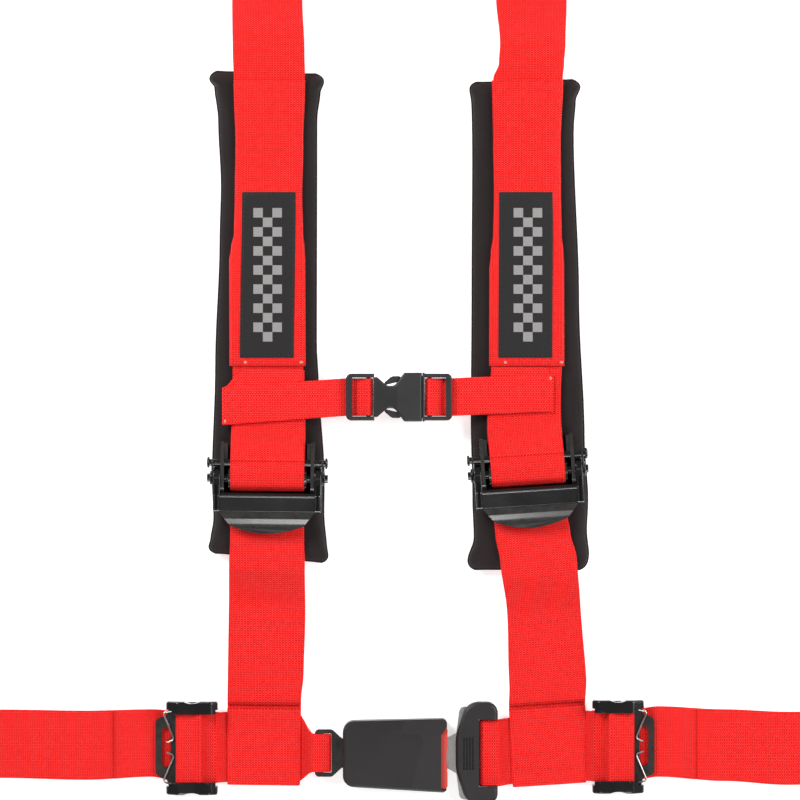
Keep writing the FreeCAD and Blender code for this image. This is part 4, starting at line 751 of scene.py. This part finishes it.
def pad_sleeve(side):
    """Flat web tunnel over the strap, turned down at its edges and sewn to the pad."""
    centre = placing(SHOULDER_X[side], 0.0, 0.0)
    z = STRAP_TOP_Z + LAYER_GAP + HALF_WEB
    points = [(SLEEVE_BOTTOM_Y, z), (SLEEVE_TOP_Y, z)]
    dome = smooth_table([(SLEEVE_BOTTOM_Y, 0.0), (360.0, 0.3), (400.0, 1.6), (460.0, 1.8),
                         (SLEEVE_TOP_Y, 0.8)])
    obj = web(side + "_sleeve_web", rounded_path(points, [0.0, 0.0], 2.0), station_edges(SLEEVE_EDGES[side]),
              centre, crown=lambda y: dome(y)[0], lip=2.6)
    top = z + VISUAL_THICK / 2
    left, right = smooth_table(SLEEVE_EDGES[side])(SLEEVE_TOP_Y)
    lines = []
    for row in range(2):
        y = SLEEVE_TOP_Y - 3.0 - 5.0 * row
        lines.append(level_line(centre, y, left + 3.0, y, 0.0, top + 0.1, top + 0.85))
        lines.append(level_line(centre, y, 0.0, y, right - 3.0, top + 0.85, top + 0.1))
    for row in range(2):
        y = SLEEVE_BOTTOM_Y + 2.6 + 2.6 * row
        lines.append(level_line(centre, y, -23.5, y, 23.5, top))
    seam = stitches(side + "_sleeve_stitches", lines, side + "_pad_body", RED_THREAD)
    tacks = []
    for x in (-16.0, 24.0):
        tacks += bartack(centre, x, SLEEVE_BOTTOM_Y + 2.6, top, 1.6, 3.4)
    tack = stitches(side + "_sleeve_bartacks", tacks, side + "_pad_body", PALE_THREAD)
    finish_web(obj, side + "_pad_body", side + "_pad_sleeve", RED_WEB)


def patch_label(side):
    """Woven patch with a stitched border."""
    z = STRAP_TOP_Z + LAYER_GAP + WEB_THICK + 0.35
    bottom = SLEEVE_BOTTOM_Y + LABEL_ABOVE_SLEEVE_END
    drift = {"left": (-0.6, 0.9), "right": (-1.8, -1.3)}[side]
    centre = placing(SHOULDER_X[side], bottom + LABEL_LENGTH / 2, 0.0)
    half_length = LABEL_LENGTH / 2
    half = LABEL_WIDTH / 2
    points = [(-half_length, z), (half_length, z)]
    edges = station_edges([(-half_length, drift[0] - half, drift[0] + half),
                           (half_length, drift[1] - half, drift[1] + half)])
    rise = smooth_table([(-half_length, 0.0), (half_length * 0.4, 0.3), (half_length, 1.0)])
    obj = web(side + "_label_patch", rounded_path(points, [0.0, 0.0]), edges, centre,
              thick=LABEL_VISUAL_THICK, crown=lambda y: rise(y)[0], ruffle=0.0)
    for value in obj.data.attributes["weave"].data:
        value.vector.y -= half_length
    top = z + 0.4
    inset = 1.6
    low_x, high_x = drift[0] - half + inset, drift[0] + half - inset
    top_low_x, top_high_x = drift[1] - half + inset, drift[1] + half - inset
    far = half_length - inset
    corners = [(-far, low_x, top), (far, top_low_x, top + 0.15),
               (far, top_high_x, top + 0.15), (-far, high_x, top)]
    lines = []
    for first, second in zip(corners, corners[1:] + corners[:1]):
        if abs(first[0] - second[0]) < TINY:
            lift = 1.0 if first[0] > 0 else 0.0
            middle_x = (first[1] + second[1]) / 2
            lines.append(level_line(centre, first[0], first[1], first[0], middle_x, first[2], top + lift))
            lines.append(level_line(centre, first[0], middle_x, first[0], second[1], top + lift, second[2]))
        else:
            lines.append(level_line(centre, first[0], first[1], second[0], second[1], first[2], second[2]))
    border = stitches(side + "_label_stitches", lines, side + "_pad_body", BLACK_THREAD, 0.2)
    obj.data.materials.append(LABEL)
    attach(obj, side + "_pad_body")
    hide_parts(side + "_label")


LOWER_EDGES = {
    "left": [(-32, -26.2, 26.2), (-46, -26.4, 26.6), (-60, -26.9, 27.2), (-101, -27.3, 27.7),
             (-140, -27.4, 27), (-159, -27.4, 25.4), (-220, -26.8, 25.4)],
    "right": [(-32, -26.2, 26.2), (-44, -26, 27.4), (-63, -23.8, 30.8), (-100, -21, 31.8),
              (-150, -22.8, 32.6), (-172, -24.4, 30.4), (-225, -25.2, 27.6)],
}


def lower_strap(side):
    """Lower web: sewn loop on the adjuster bar, run down, wrap round the lap belt."""
    wrap_r = BASE_PLATE / 2 + WRAP_CLEAR + HALF_WEB
    back_z = STRAP_BAR_Z - wrap_r
    front_z = back_z + WEB_THICK + FOLD_GAP
    pad_end = PAD_TOP_Y[side] - PAD_LENGTH - PAD_END_GAP - ADJUSTER_Y[side]
    ramp_end = pad_end - PAD_END_GAP - PAD_RAMP
    bar_low = STRAP_BAR_Y - STRAP_BAR_WIDTH / 2
    bar_high = STRAP_BAR_Y + STRAP_BAR_WIDTH / 2 + wrap_r - 0.4 * BASE_PLATE
    slant = WEB_WIDTH / 2 * abs(math.tan(math.radians(ADJUSTER_TILT_DEG[side])))
    lap_low = LAP_SHIFT_Y[side] - WEB_WIDTH / 2 - slant - 1.3 - ADJUSTER_Y[side]
    lap_high = WEB_WIDTH / 2 - ADJUSTER_Y[side]
    turn_r = (JUNCTION_TOP_Z - HALF_WEB) / 2
    floor_front = HALF_WEB + WEB_THICK + FOLD_GAP
    points = [
        (lap_high + 3.0, floor_front), (ramp_end, floor_front), (pad_end - PAD_END_GAP, front_z),
        (bar_low - 10.0, front_z), (bar_low - 3.0, STRAP_BAR_Z + wrap_r), (bar_high, STRAP_BAR_Z + wrap_r),
        (bar_high, back_z), (pad_end - PAD_END_GAP, back_z), (ramp_end, HALF_WEB),
        (lap_low, HALF_WEB), (lap_low, JUNCTION_TOP_Z), (lap_high, JUNCTION_TOP_Z),
    ]
    radii = [0.0, RAMP_R, RAMP_R, 3.0, 3.0, wrap_r, wrap_r, RAMP_R, RAMP_R, turn_r, turn_r, 0.0]
    place = placing(SHOULDER_X[side], ADJUSTER_Y[side], ADJUSTER_TILT_DEG[side])
    edges = station_edges(LOWER_EDGES[side])
    obj = web(side + "_lower_web", rounded_path(points, radii), edges, place)
    square_top = JUNCTION_TOP_Z + VISUAL_THICK / 2
    rows = [(lap_high - 8.0, square_top), (lap_low + 11.0, square_top)]
    rows += [(-104.0, floor_front + VISUAL_THICK / 2), (-108.5, floor_front + VISUAL_THICK / 2)]
    lines = cross_rows(place, edges, rows, 2.0)
    left, right = edges(lap_high - 8.0, 0.0)
    for x in (left + 3.0, right - 3.0):
        lines.append(level_line(place, lap_high - 8.0, x, lap_low + 11.0, x, square_top))
    thread = stitches(side + "_lower_stitches", lines, side + "_side", RED_THREAD)
    finish_web(obj, side + "_side", side + "_lower_strap", RED_WEB)


OUTER_EDGES = {
    "left": [(-18, -25.2, 25.2), (14, -25.2, 25.6), (33, -21.4, 27), (80, -23.8, 26),
             (140, -22.4, 26.8), (215, -25.25, 25.25)],
    "right": [(-18, -25.2, 25.2), (14, -25.6, 25.2), (33, -28.2, 22.4), (80, -26, 25.6),
              (126, -24.2, 28.4), (200, -25.25, 25.25)],
}


def lap_outer(side):
    """Lap web outside the slide: sewn loop in the slide plate and loop in the bracket."""
    bar_y = LAP_END_X - abs(SLIDE_X[side])
    loop, loop_radii = end_loop(bar_y)
    wrap_y = SLIDE_PLATE_LOW_Y - OUTER_WRAP_R
    tail_z = 1.5 * WEB_THICK + SEWN_GAP
    points = [(TAIL_LENGTH, tail_z), (2.5, tail_z), (-6.5, OUTER_TOP_Z), (wrap_y, OUTER_TOP_Z),
              (wrap_y, HALF_WEB)]
    radii = [0.0, 4.0, 2.0, OUTER_WRAP_R, OUTER_WRAP_R]
    place = placing(SLIDE_X[side], LAP_SHIFT_Y[side], LAP_TURN_DEG[side])
    edges = station_edges(OUTER_EDGES[side])
    obj = web(side + "_lap_outer_web", rounded_path(points + loop, radii + loop_radii), edges, place)
    lines = end_loop_stitches(place, bar_y)
    surface = tail_z + VISUAL_THICK / 2
    lines += cross_rows(place, edges, [(52.0, surface), (56.0, surface)], 3.0)
    thread = stitches(side + "_lap_outer_stitches", lines, side + "_side", RED_THREAD)
    finish_web(obj, side + "_side", side + "_lap_strap_outer", RED_WEB)


def lap_inner(side):
    """Lap web between the slide and the latch or tongue, drawn in at its inner end."""
    end_x = ANCHOR_LEFT_X if side == "left" else COVER_RIGHT_X - 1.6
    bar = ANCHOR_BAR if side == "left" else TONGUE_BAR
    plate = ANCHOR_THICK if side == "left" else TONGUE_THICK
    outer_edge = abs(end_x) - abs(SLIDE_X[side])
    wrap_r = plate / 2 + WRAP_CLEAR + HALF_WEB
    slot = ANCHOR_SLOT if side == "left" else TONGUE_SLOT
    far = outer_edge - bar - slot + SLOT_GAP + VISUAL_THICK / 2
    points = [
        (-6.0, SLIDE_TAIL_Z), (SLIDE_WRAP_Y, SLIDE_TAIL_Z), (SLIDE_WRAP_Y, SLIDE_WEB_Z), (-0.5, SLIDE_WEB_Z),
        (-13.0, OUTER_TOP_Z + WEB_THICK + 1.2), (-19.9, JUNCTION_LAP_Z), (outer_edge + 8.5, JUNCTION_LAP_Z),
        (outer_edge + 1.8, LATCH_Z + wrap_r), (far, LATCH_Z + wrap_r), (far, LATCH_Z - wrap_r),
        (outer_edge + 1.2, LATCH_Z - wrap_r), (outer_edge + 5.4, HALF_WEB + 0.2),
        (outer_edge + 7.5, HALF_WEB + 0.2),
    ]
    turn_r = (SLIDE_WEB_Z - SLIDE_TAIL_Z) / 2
    radii = [0.0, turn_r, turn_r, 3.0, 3.0, 3.0, 4.0, 3.0, wrap_r, wrap_r, 3.0, 1.5, 0.0]
    place = placing(SLIDE_X[side], LAP_SHIFT_Y[side], LAP_TURN_DEG[side])
    half = WEB_WIDTH / 2
    slot_half = ANCHOR_SLOT_HALF if side == "left" else COVER_SLOT_HALF
    slot_half -= LAYER_GAP
    across = (LATCH_Y - LAP_SHIFT_Y[side]) * (1 if side == "left" else -1)
    start = outer_edge + (13.0 if side == "left" else 32.0)
    stations = [(outer_edge - 30.0, across - slot_half, across + slot_half),
                (outer_edge + 1.0, across - slot_half, across + slot_half),
                (start, -half, half), (0.0, -half, half), (30.0, -half, half)]
    grip = creases([(-16.0, 0.0), (-11.0, 1.2), (-6.0, 1.9), (-3.6, 0.9), (-1.8, -2.0), (0.0, -0.1),
                    (3.5, 0.9), (9.0, 0.8), (13.0, 0.0)], SLIDE_TAIL_Z + 1.0)
    path = rounded_path(points, radii, 1.0)
    obj = web(side + "_lap_inner_web", path, station_edges(stations), place, folds=grip)
    finish_web(obj, side + "_side", side + "_lap_strap_inner", RED_WEB)


def sternum_edges(side, fold_s, fold_y):
    """Edges of a sternum web: the front layer slants, the layer behind lies level."""
    half = STERNUM_WEB_WIDTH / 2
    sign = 1 if side == "left" else -1
    front_end = sign * (-6.6 if side == "left" else 3.0)
    back_end = sign * (5.6 if side == "left" else 8.0)

    def edges(y, s):
        share = min(1.0, max(0.0, y / fold_y))
        centre = front_end * share
        if s > fold_s:
            inward = min(1.0, (fold_y - y) / (14.0 if side == "left" else 6.0))
            centre = front_end + (back_end - front_end) * smooth_step(inward)
        return centre - half, centre + half

    return edges


def sternum_strap(side):
    """Sternum web: grip loop in the clip, folded end sewn on the shoulder web."""
    half_thick = STERNUM_WEB_THICK / 2
    wrap_r = CLIP_MID_BAR_R + LOOP_CLEAR + half_thick
    top, bottom = CLIP_Z + wrap_r, CLIP_Z - wrap_r
    inner_y = -CLIP_MID_BAR_IN - wrap_r - CLIP_SLACK
    sewn_z = STRAP_TOP_Z + STERNUM_LIFT + half_thick
    front_z = sewn_z + STERNUM_WEB_THICK + FOLD_GAP
    under_z = CLIP_Z - CLIP_BAR_UNDER - half_thick
    points = [(24.0, bottom), (inner_y, bottom), (inner_y, top), (-CLIP_MID_BAR_IN + 1.0, top),
              (-CLIP_BAR - 1.5, under_z), (3.0, under_z), (14.0, front_z)]
    turn_r = (front_z - sewn_z) / 2
    clip_x = CLIP_LEFT_X if side == "left" else CLIP_RIGHT_X
    if side == "left":
        fold_y = CLIP_LEFT_X - STERNUM_FOLD_X - half_thick
        tail_y = CLIP_LEFT_X - SHOULDER_X[side] - WEB_WIDTH / 2 - 1.0
    else:
        fold_y = STERNUM_SEWN_X - CLIP_RIGHT_X
        tail_y = fold_y - 44.0
    points += [(fold_y, front_z), (fold_y, sewn_z), (tail_y, sewn_z)]
    radii = [0.0, wrap_r, wrap_r, 1.5, 1.5, 8.0, 8.0, turn_r, turn_r, 0.0]
    place = placing(clip_x, CLIP_Y, LAP_TURN_DEG[side])
    path = rounded_path(points, radii, 2.0)
    fold_s = max(s for point, _, s in path_frames(path) if point.x > fold_y - 0.3) - 0.8
    edges = sternum_edges(side, fold_s, fold_y)
    obj = web(side + "_sternum_web", path, edges, place, thick=STERNUM_VISUAL_THICK, ruffle=0.1)
    sew_y = fold_y - 4.0
    surface = front_z + 0.55
    left, right = edges(sew_y, 0.0)
    lines = []
    for row in (0.0, 3.0):
        lines.append(level_line(place, sew_y - row, left + 2.0, sew_y - row, right - 2.0, surface))
    thread = stitches(side + "_sternum_stitches", lines, side + "_side", RED_THREAD, 0.24)
    tacks = bartack(place, left + 3.0 if side == "right" else left + 2.5, fold_y - 1.6, surface, 1.4, 2.6)
    tack = stitches(side + "_sternum_bartack", tacks, side + "_side", PALE_THREAD, 0.22)
    finish_web(obj, side + "_side", side + "_sternum_strap", RED_STERNUM_WEB)


# ---- Pads ----
PAD_OUTLINE = {
    "left": {
        "low": [(-2.5, -42.6), (4, -43.4), (10, -40.6), (35, -38.2), (82, -36.2), (121, -37.2),
                (210, -40.4), (292, -42.8), (321, -41.6), (336, -43.2), (344, -44.8),
                (352, -42.4)],
        "high": [(-2.5, 39.4), (5, 41.2), (14, 39.2), (35, 37.4), (200, 37.2), (216, 38.4),
                 (292, 42.8), (321, 42.2), (340, 43), (354, 44.2)],
        "top": (-2, 0), "bottom": (346.5, 353.5),
    },
    "right": {
        "low": [(-2.5, -42.4), (3, -42.9), (15, -41.8), (44, -41.8), (150, -42.4), (244, -43),
                (301, -41.8), (330, -40.6), (346, -43.8), (354, -43.2)],
        "high": [(-2.5, 37.6), (3, 39), (14, 36.8), (37, 35.6), (158, 39.6), (258, 43.6),
                 (301, 46), (326, 44.8), (341, 45.8), (354, 43.6)],
        "top": (0.5, -1.5), "bottom": (353, 353),
    },
}
PAD_COLUMNS = 20
PAD_ROWS = 76
RIM_Z = 6.4
PAD_ROLL = 13.0
PAD_EAR_R = 6.0
PAD_TOP_INSET = 0.6
PAD_FLOOR_INSET = 0.5
PAD_FULLNESS = 0.9
PAD_MOVE_MAX = 3.0 * MM
RIM_MOVE_MAX = 1.2 * MM
PIPING_R = 0.75
ROW_BUNCHING = 0.75


def eased(share):
    """Spread 0 to 1 so that the rows are closest together at both ends."""
    return share - ROW_BUNCHING * math.sin(2 * math.pi * share) / (2 * math.pi)


def corner_tuck(near_end):
    """How far a pad's side edge is drawn in near an end, which rounds the corner."""
    if near_end >= PAD_EAR_R:
        return 0.0
    return PAD_EAR_R - math.sqrt(PAD_EAR_R ** 2 - (PAD_EAR_R - max(0.0, near_end)) ** 2)


def pad_grid(side):
    """Vertices, faces and rim of the uninflated pad, whose top and bottom share that rim."""
    outline = PAD_OUTLINE[side]
    low, high = smooth_table(outline["low"]), smooth_table(outline["high"])
    centre_x = SHOULDER_X[side]
    top_y = PAD_TOP_Y[side] + PLAN_TO_MODEL_Y
    vertices, index_of = [], {}
    for layer in (1, -1):
        for row in range(PAD_ROWS + 1):
            for column in range(PAD_COLUMNS + 1):
                rim = row in (0, PAD_ROWS) or column in (0, PAD_COLUMNS)
                if rim and layer < 0:
                    index_of[layer, row, column] = index_of[1, row, column]
                    continue
                u, v = column / PAD_COLUMNS, eased(row / PAD_ROWS)
                start, end = between(outline["top"], u), between(outline["bottom"], u)
                down = start + (end - start) * v
                tuck = corner_tuck(min(down - start, end - down))
                x0, x1 = low(down)[0] + tuck, high(down)[0] - tuck
                x = x0 + (x1 - x0) * u
                inside = min(x - x0, x1 - x, down - start, end - down)
                roll = min(1.0, max(0.0, inside) / PAD_ROLL)
                swell = math.sqrt(max(0.0, 1 - (1 - roll) ** 2))
                depth = (PAD_THICK - PAD_TOP_INSET - RIM_Z) if layer > 0 else (RIM_Z - PAD_FLOOR_INSET)
                index_of[layer, row, column] = len(vertices)
                z = RIM_Z + layer * depth * swell * PAD_FULLNESS
                vertices.append(Vector((centre_x + x, top_y - down, z)))
    faces = []
    for layer in (1, -1):
        for row in range(PAD_ROWS):
            for column in range(PAD_COLUMNS):
                face = [index_of[layer, row, column], index_of[layer, row + 1, column],
                        index_of[layer, row + 1, column + 1], index_of[layer, row, column + 1]]
                faces.append(tuple(face if layer > 0 else reversed(face)))
    rim = [index_of[1, 0, column] for column in range(PAD_COLUMNS)]
    rim += [index_of[1, row, PAD_COLUMNS] for row in range(PAD_ROWS)]
    rim += [index_of[1, PAD_ROWS, column] for column in range(PAD_COLUMNS, 0, -1)]
    rim += [index_of[1, row, 0] for row in range(PAD_ROWS, 0, -1)]
    return vertices, faces, rim


def inflate(obj, limit, rim, rim_limit):
    """Blow the pad up as cloth, and keep every point within a limit of its start."""
    fixed = set(rim)
    start = [vertex.co.copy() for vertex in obj.data.vertices]
    cloth = obj.modifiers.new("inflate", "CLOTH")
    settings = cloth.settings
    settings.quality = 5
    settings.mass = 0.25
    settings.use_pressure = True
    settings.uniform_pressure_force = 4.0
    settings.tension_stiffness = 12.0
    settings.compression_stiffness = 12.0
    settings.shear_stiffness = 6.0
    settings.bending_stiffness = 0.3
    settings.effector_weights.gravity = 0.0
    scene = bpy.context.scene
    for step in range(1, 21):
        scene.frame_set(step)
    shaped = modified_mesh(obj)
    moved = [vertex.co.copy() for vertex in shaped.vertices]
    obj.modifiers.clear()
    bpy.data.meshes.remove(shaped)
    scene.frame_set(1)
    for vertex, before, after in zip(obj.data.vertices, start, moved):
        step = after - before
        most = rim_limit if vertex.index in fixed else limit
        if step.length > most:
            step *= most / step.length
        vertex.co = before + step


def settle(obj, side):
    """Press the pad flat on the floor and under the strap."""
    centre_x = SHOULDER_X[side] * MM
    under_strap = 30.0 * MM
    low, high = 0.35 * MM, (PAD_THICK - 0.3) * MM
    free_rise = 1.6 * MM
    for vertex in obj.data.vertices:
        away = abs(vertex.co.x - centre_x) - under_strap
        share = min(1.0, max(0.0, away / (6.0 * MM)))
        ceiling = high + free_rise * share
        vertex.co.z = max(low, min(ceiling, vertex.co.z))


def rim_piping(name, points, radius, body):
    """Rolled seam along the pad's rim."""
    spokes = 6
    vertices = []
    count = len(points)
    for index, point in enumerate(points):
        along = (points[(index + 1) % count] - points[index - 1]).normalized()
        side = along.cross(Vector((0, 0, 1))).normalized()
        for spoke in range(spokes):
            angle = 2 * math.pi * spoke / spokes
            vertices.append(point + (side * math.cos(angle) + Vector((0, 0, 1)) * math.sin(angle)) * radius)
    obj = mesh_object(name, vertices, tube_faces(count, spokes, closed=True))
    obj.data.materials.append(SUEDE)
    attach(obj, body)
    return obj


def shoulder_pad(side):
    """Foam pad in a microsuede cover, inflated as cloth and pressed flat where it lies."""
    vertices, faces, rim = pad_grid(side)
    obj = mesh_object(side + "_pad", vertices, faces)
    inflate(obj, PAD_MOVE_MAX, rim, RIM_MOVE_MAX)
    settle(obj, side)
    smooth = obj.modifiers.new("smooth", "SUBSURF")
    smooth.levels = 1
    refined = modified_mesh(obj)
    obj.modifiers.clear()
    obj.data = refined
    rim_points = [refined.vertices[index].co / MM for index in rim]
    obj.data.materials.append(SUEDE)
    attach(obj, side + "_pad_body")
    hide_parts(side + "_shoulder_pad")
    rim_piping(side + "_pad_seam", rim_points, PIPING_R, side + "_pad_body")


# ---- Finishes on the CAD nodes ----
def repaint(material, *names):
    """Give CAD nodes a detailed material."""
    for name in names:
        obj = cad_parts[name]
        if not obj.material_slots:
            obj.data.materials.append(material)
        for slot in obj.material_slots:
            slot.material = material


def finish_hardware():
    """Materials of the metal and plastic pieces."""
    for side in SIDES:
        repaint(PAINT, *(side + "_" + name for name in (
            "adjuster_frame", "guide_pin", "web_drum", "release_lever", "slide_frame", "slide_bar",
            "shoulder_bracket", "lap_bracket", "lever_springs")))
        repaint(WIRE, side + "_slide_springs")
    repaint(PAINT, "anchor_plate", "latch_frame")
    repaint(BRIGHT, "tongue_plate", "anchor_rivets", "latch_screws", "latch_pawl", "pawl_pin")
    repaint(WIRE, "button_springs")
    repaint(BLACK_PLASTIC, "latch_casing_upper", "latch_casing_lower", "tongue_cover", "ejector")
    repaint(CLIP_PLASTIC, "clip_socket", "clip_plug", "clip_prong_upper", "clip_prong_lower")
    repaint(RED_PLASTIC, "release_button")


# ---- Studio ----
VIEW_CENTRE_Y = -182.4
VIEW_WIDTH = 572.0
CAMERA_HEIGHT = 3.0
SENSOR = 36.0
SUBJECT_Z = 12.5
FLOOR_SIZE = 8.0
FLOOR_Z = -0.0006
WORLD_LIGHT = 0.2


def studio():
    """White floor, soft lights and a camera straight above."""
    scene = bpy.context.scene
    scene.view_settings.view_transform = "Standard"
    bpy.ops.mesh.primitive_plane_add(size=FLOOR_SIZE, location=(0, VIEW_CENTRE_Y * MM, FLOOR_Z))
    floor = bpy.context.object
    floor.name = "studio_floor"
    floor.data.materials.append(floor_material())
    floor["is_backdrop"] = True
    world = bpy.data.worlds.new("studio")
    scene.world = world
    world.use_nodes = True
    world.node_tree.nodes["Background"].inputs[0].default_value = (1.0, 1.0, 1.0, 1.0)
    world.node_tree.nodes["Background"].inputs[1].default_value = WORLD_LIGHT
    lamps = [("key", (-1.5, 1.1, 1.7), 1.1, 57.0), ("fill", (1.7, 0.2, 1.5), 1.3, 38.0),
             ("foot", (0.1, -3.0, 0.62), 0.9, 30.0), ("front", (0.0, -1.2, 1.7), 0.4, 5.5)]
    for name, place, size, power in lamps:
        light = bpy.data.lights.new(name, "AREA")
        light.size = size
        light.energy = power
        lamp = bpy.data.objects.new(name, light)
        lamp.location = place
        aim = Vector((0, VIEW_CENTRE_Y * MM, 0)) - Vector(place)
        lamp.rotation_euler = aim.to_track_quat("-Z", "Y").to_euler()
        scene.collection.objects.link(lamp)
    camera = bpy.data.cameras.new("camera")
    camera.sensor_width = SENSOR
    camera.lens = SENSOR * (CAMERA_HEIGHT - SUBJECT_Z * MM) / (VIEW_WIDTH * MM)
    camera.clip_end = 50.0
    eye = bpy.data.objects.new("camera", camera)
    eye.location = (0.0, VIEW_CENTRE_Y * MM, CAMERA_HEIGHT)
    scene.collection.objects.link(eye)
    scene.camera = eye


studio()
for each_side in SIDES:
    for build in (shoulder_pad, shoulder_strap, pad_sleeve, patch_label,
                  lap_inner, lower_strap, lap_outer, sternum_strap):
        build(each_side)
finish_hardware()

boxes = {"cad": cad_box, "visual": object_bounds()}
{key: [[float(value) for value in point] for point in box] for key, box in boxes.items()}
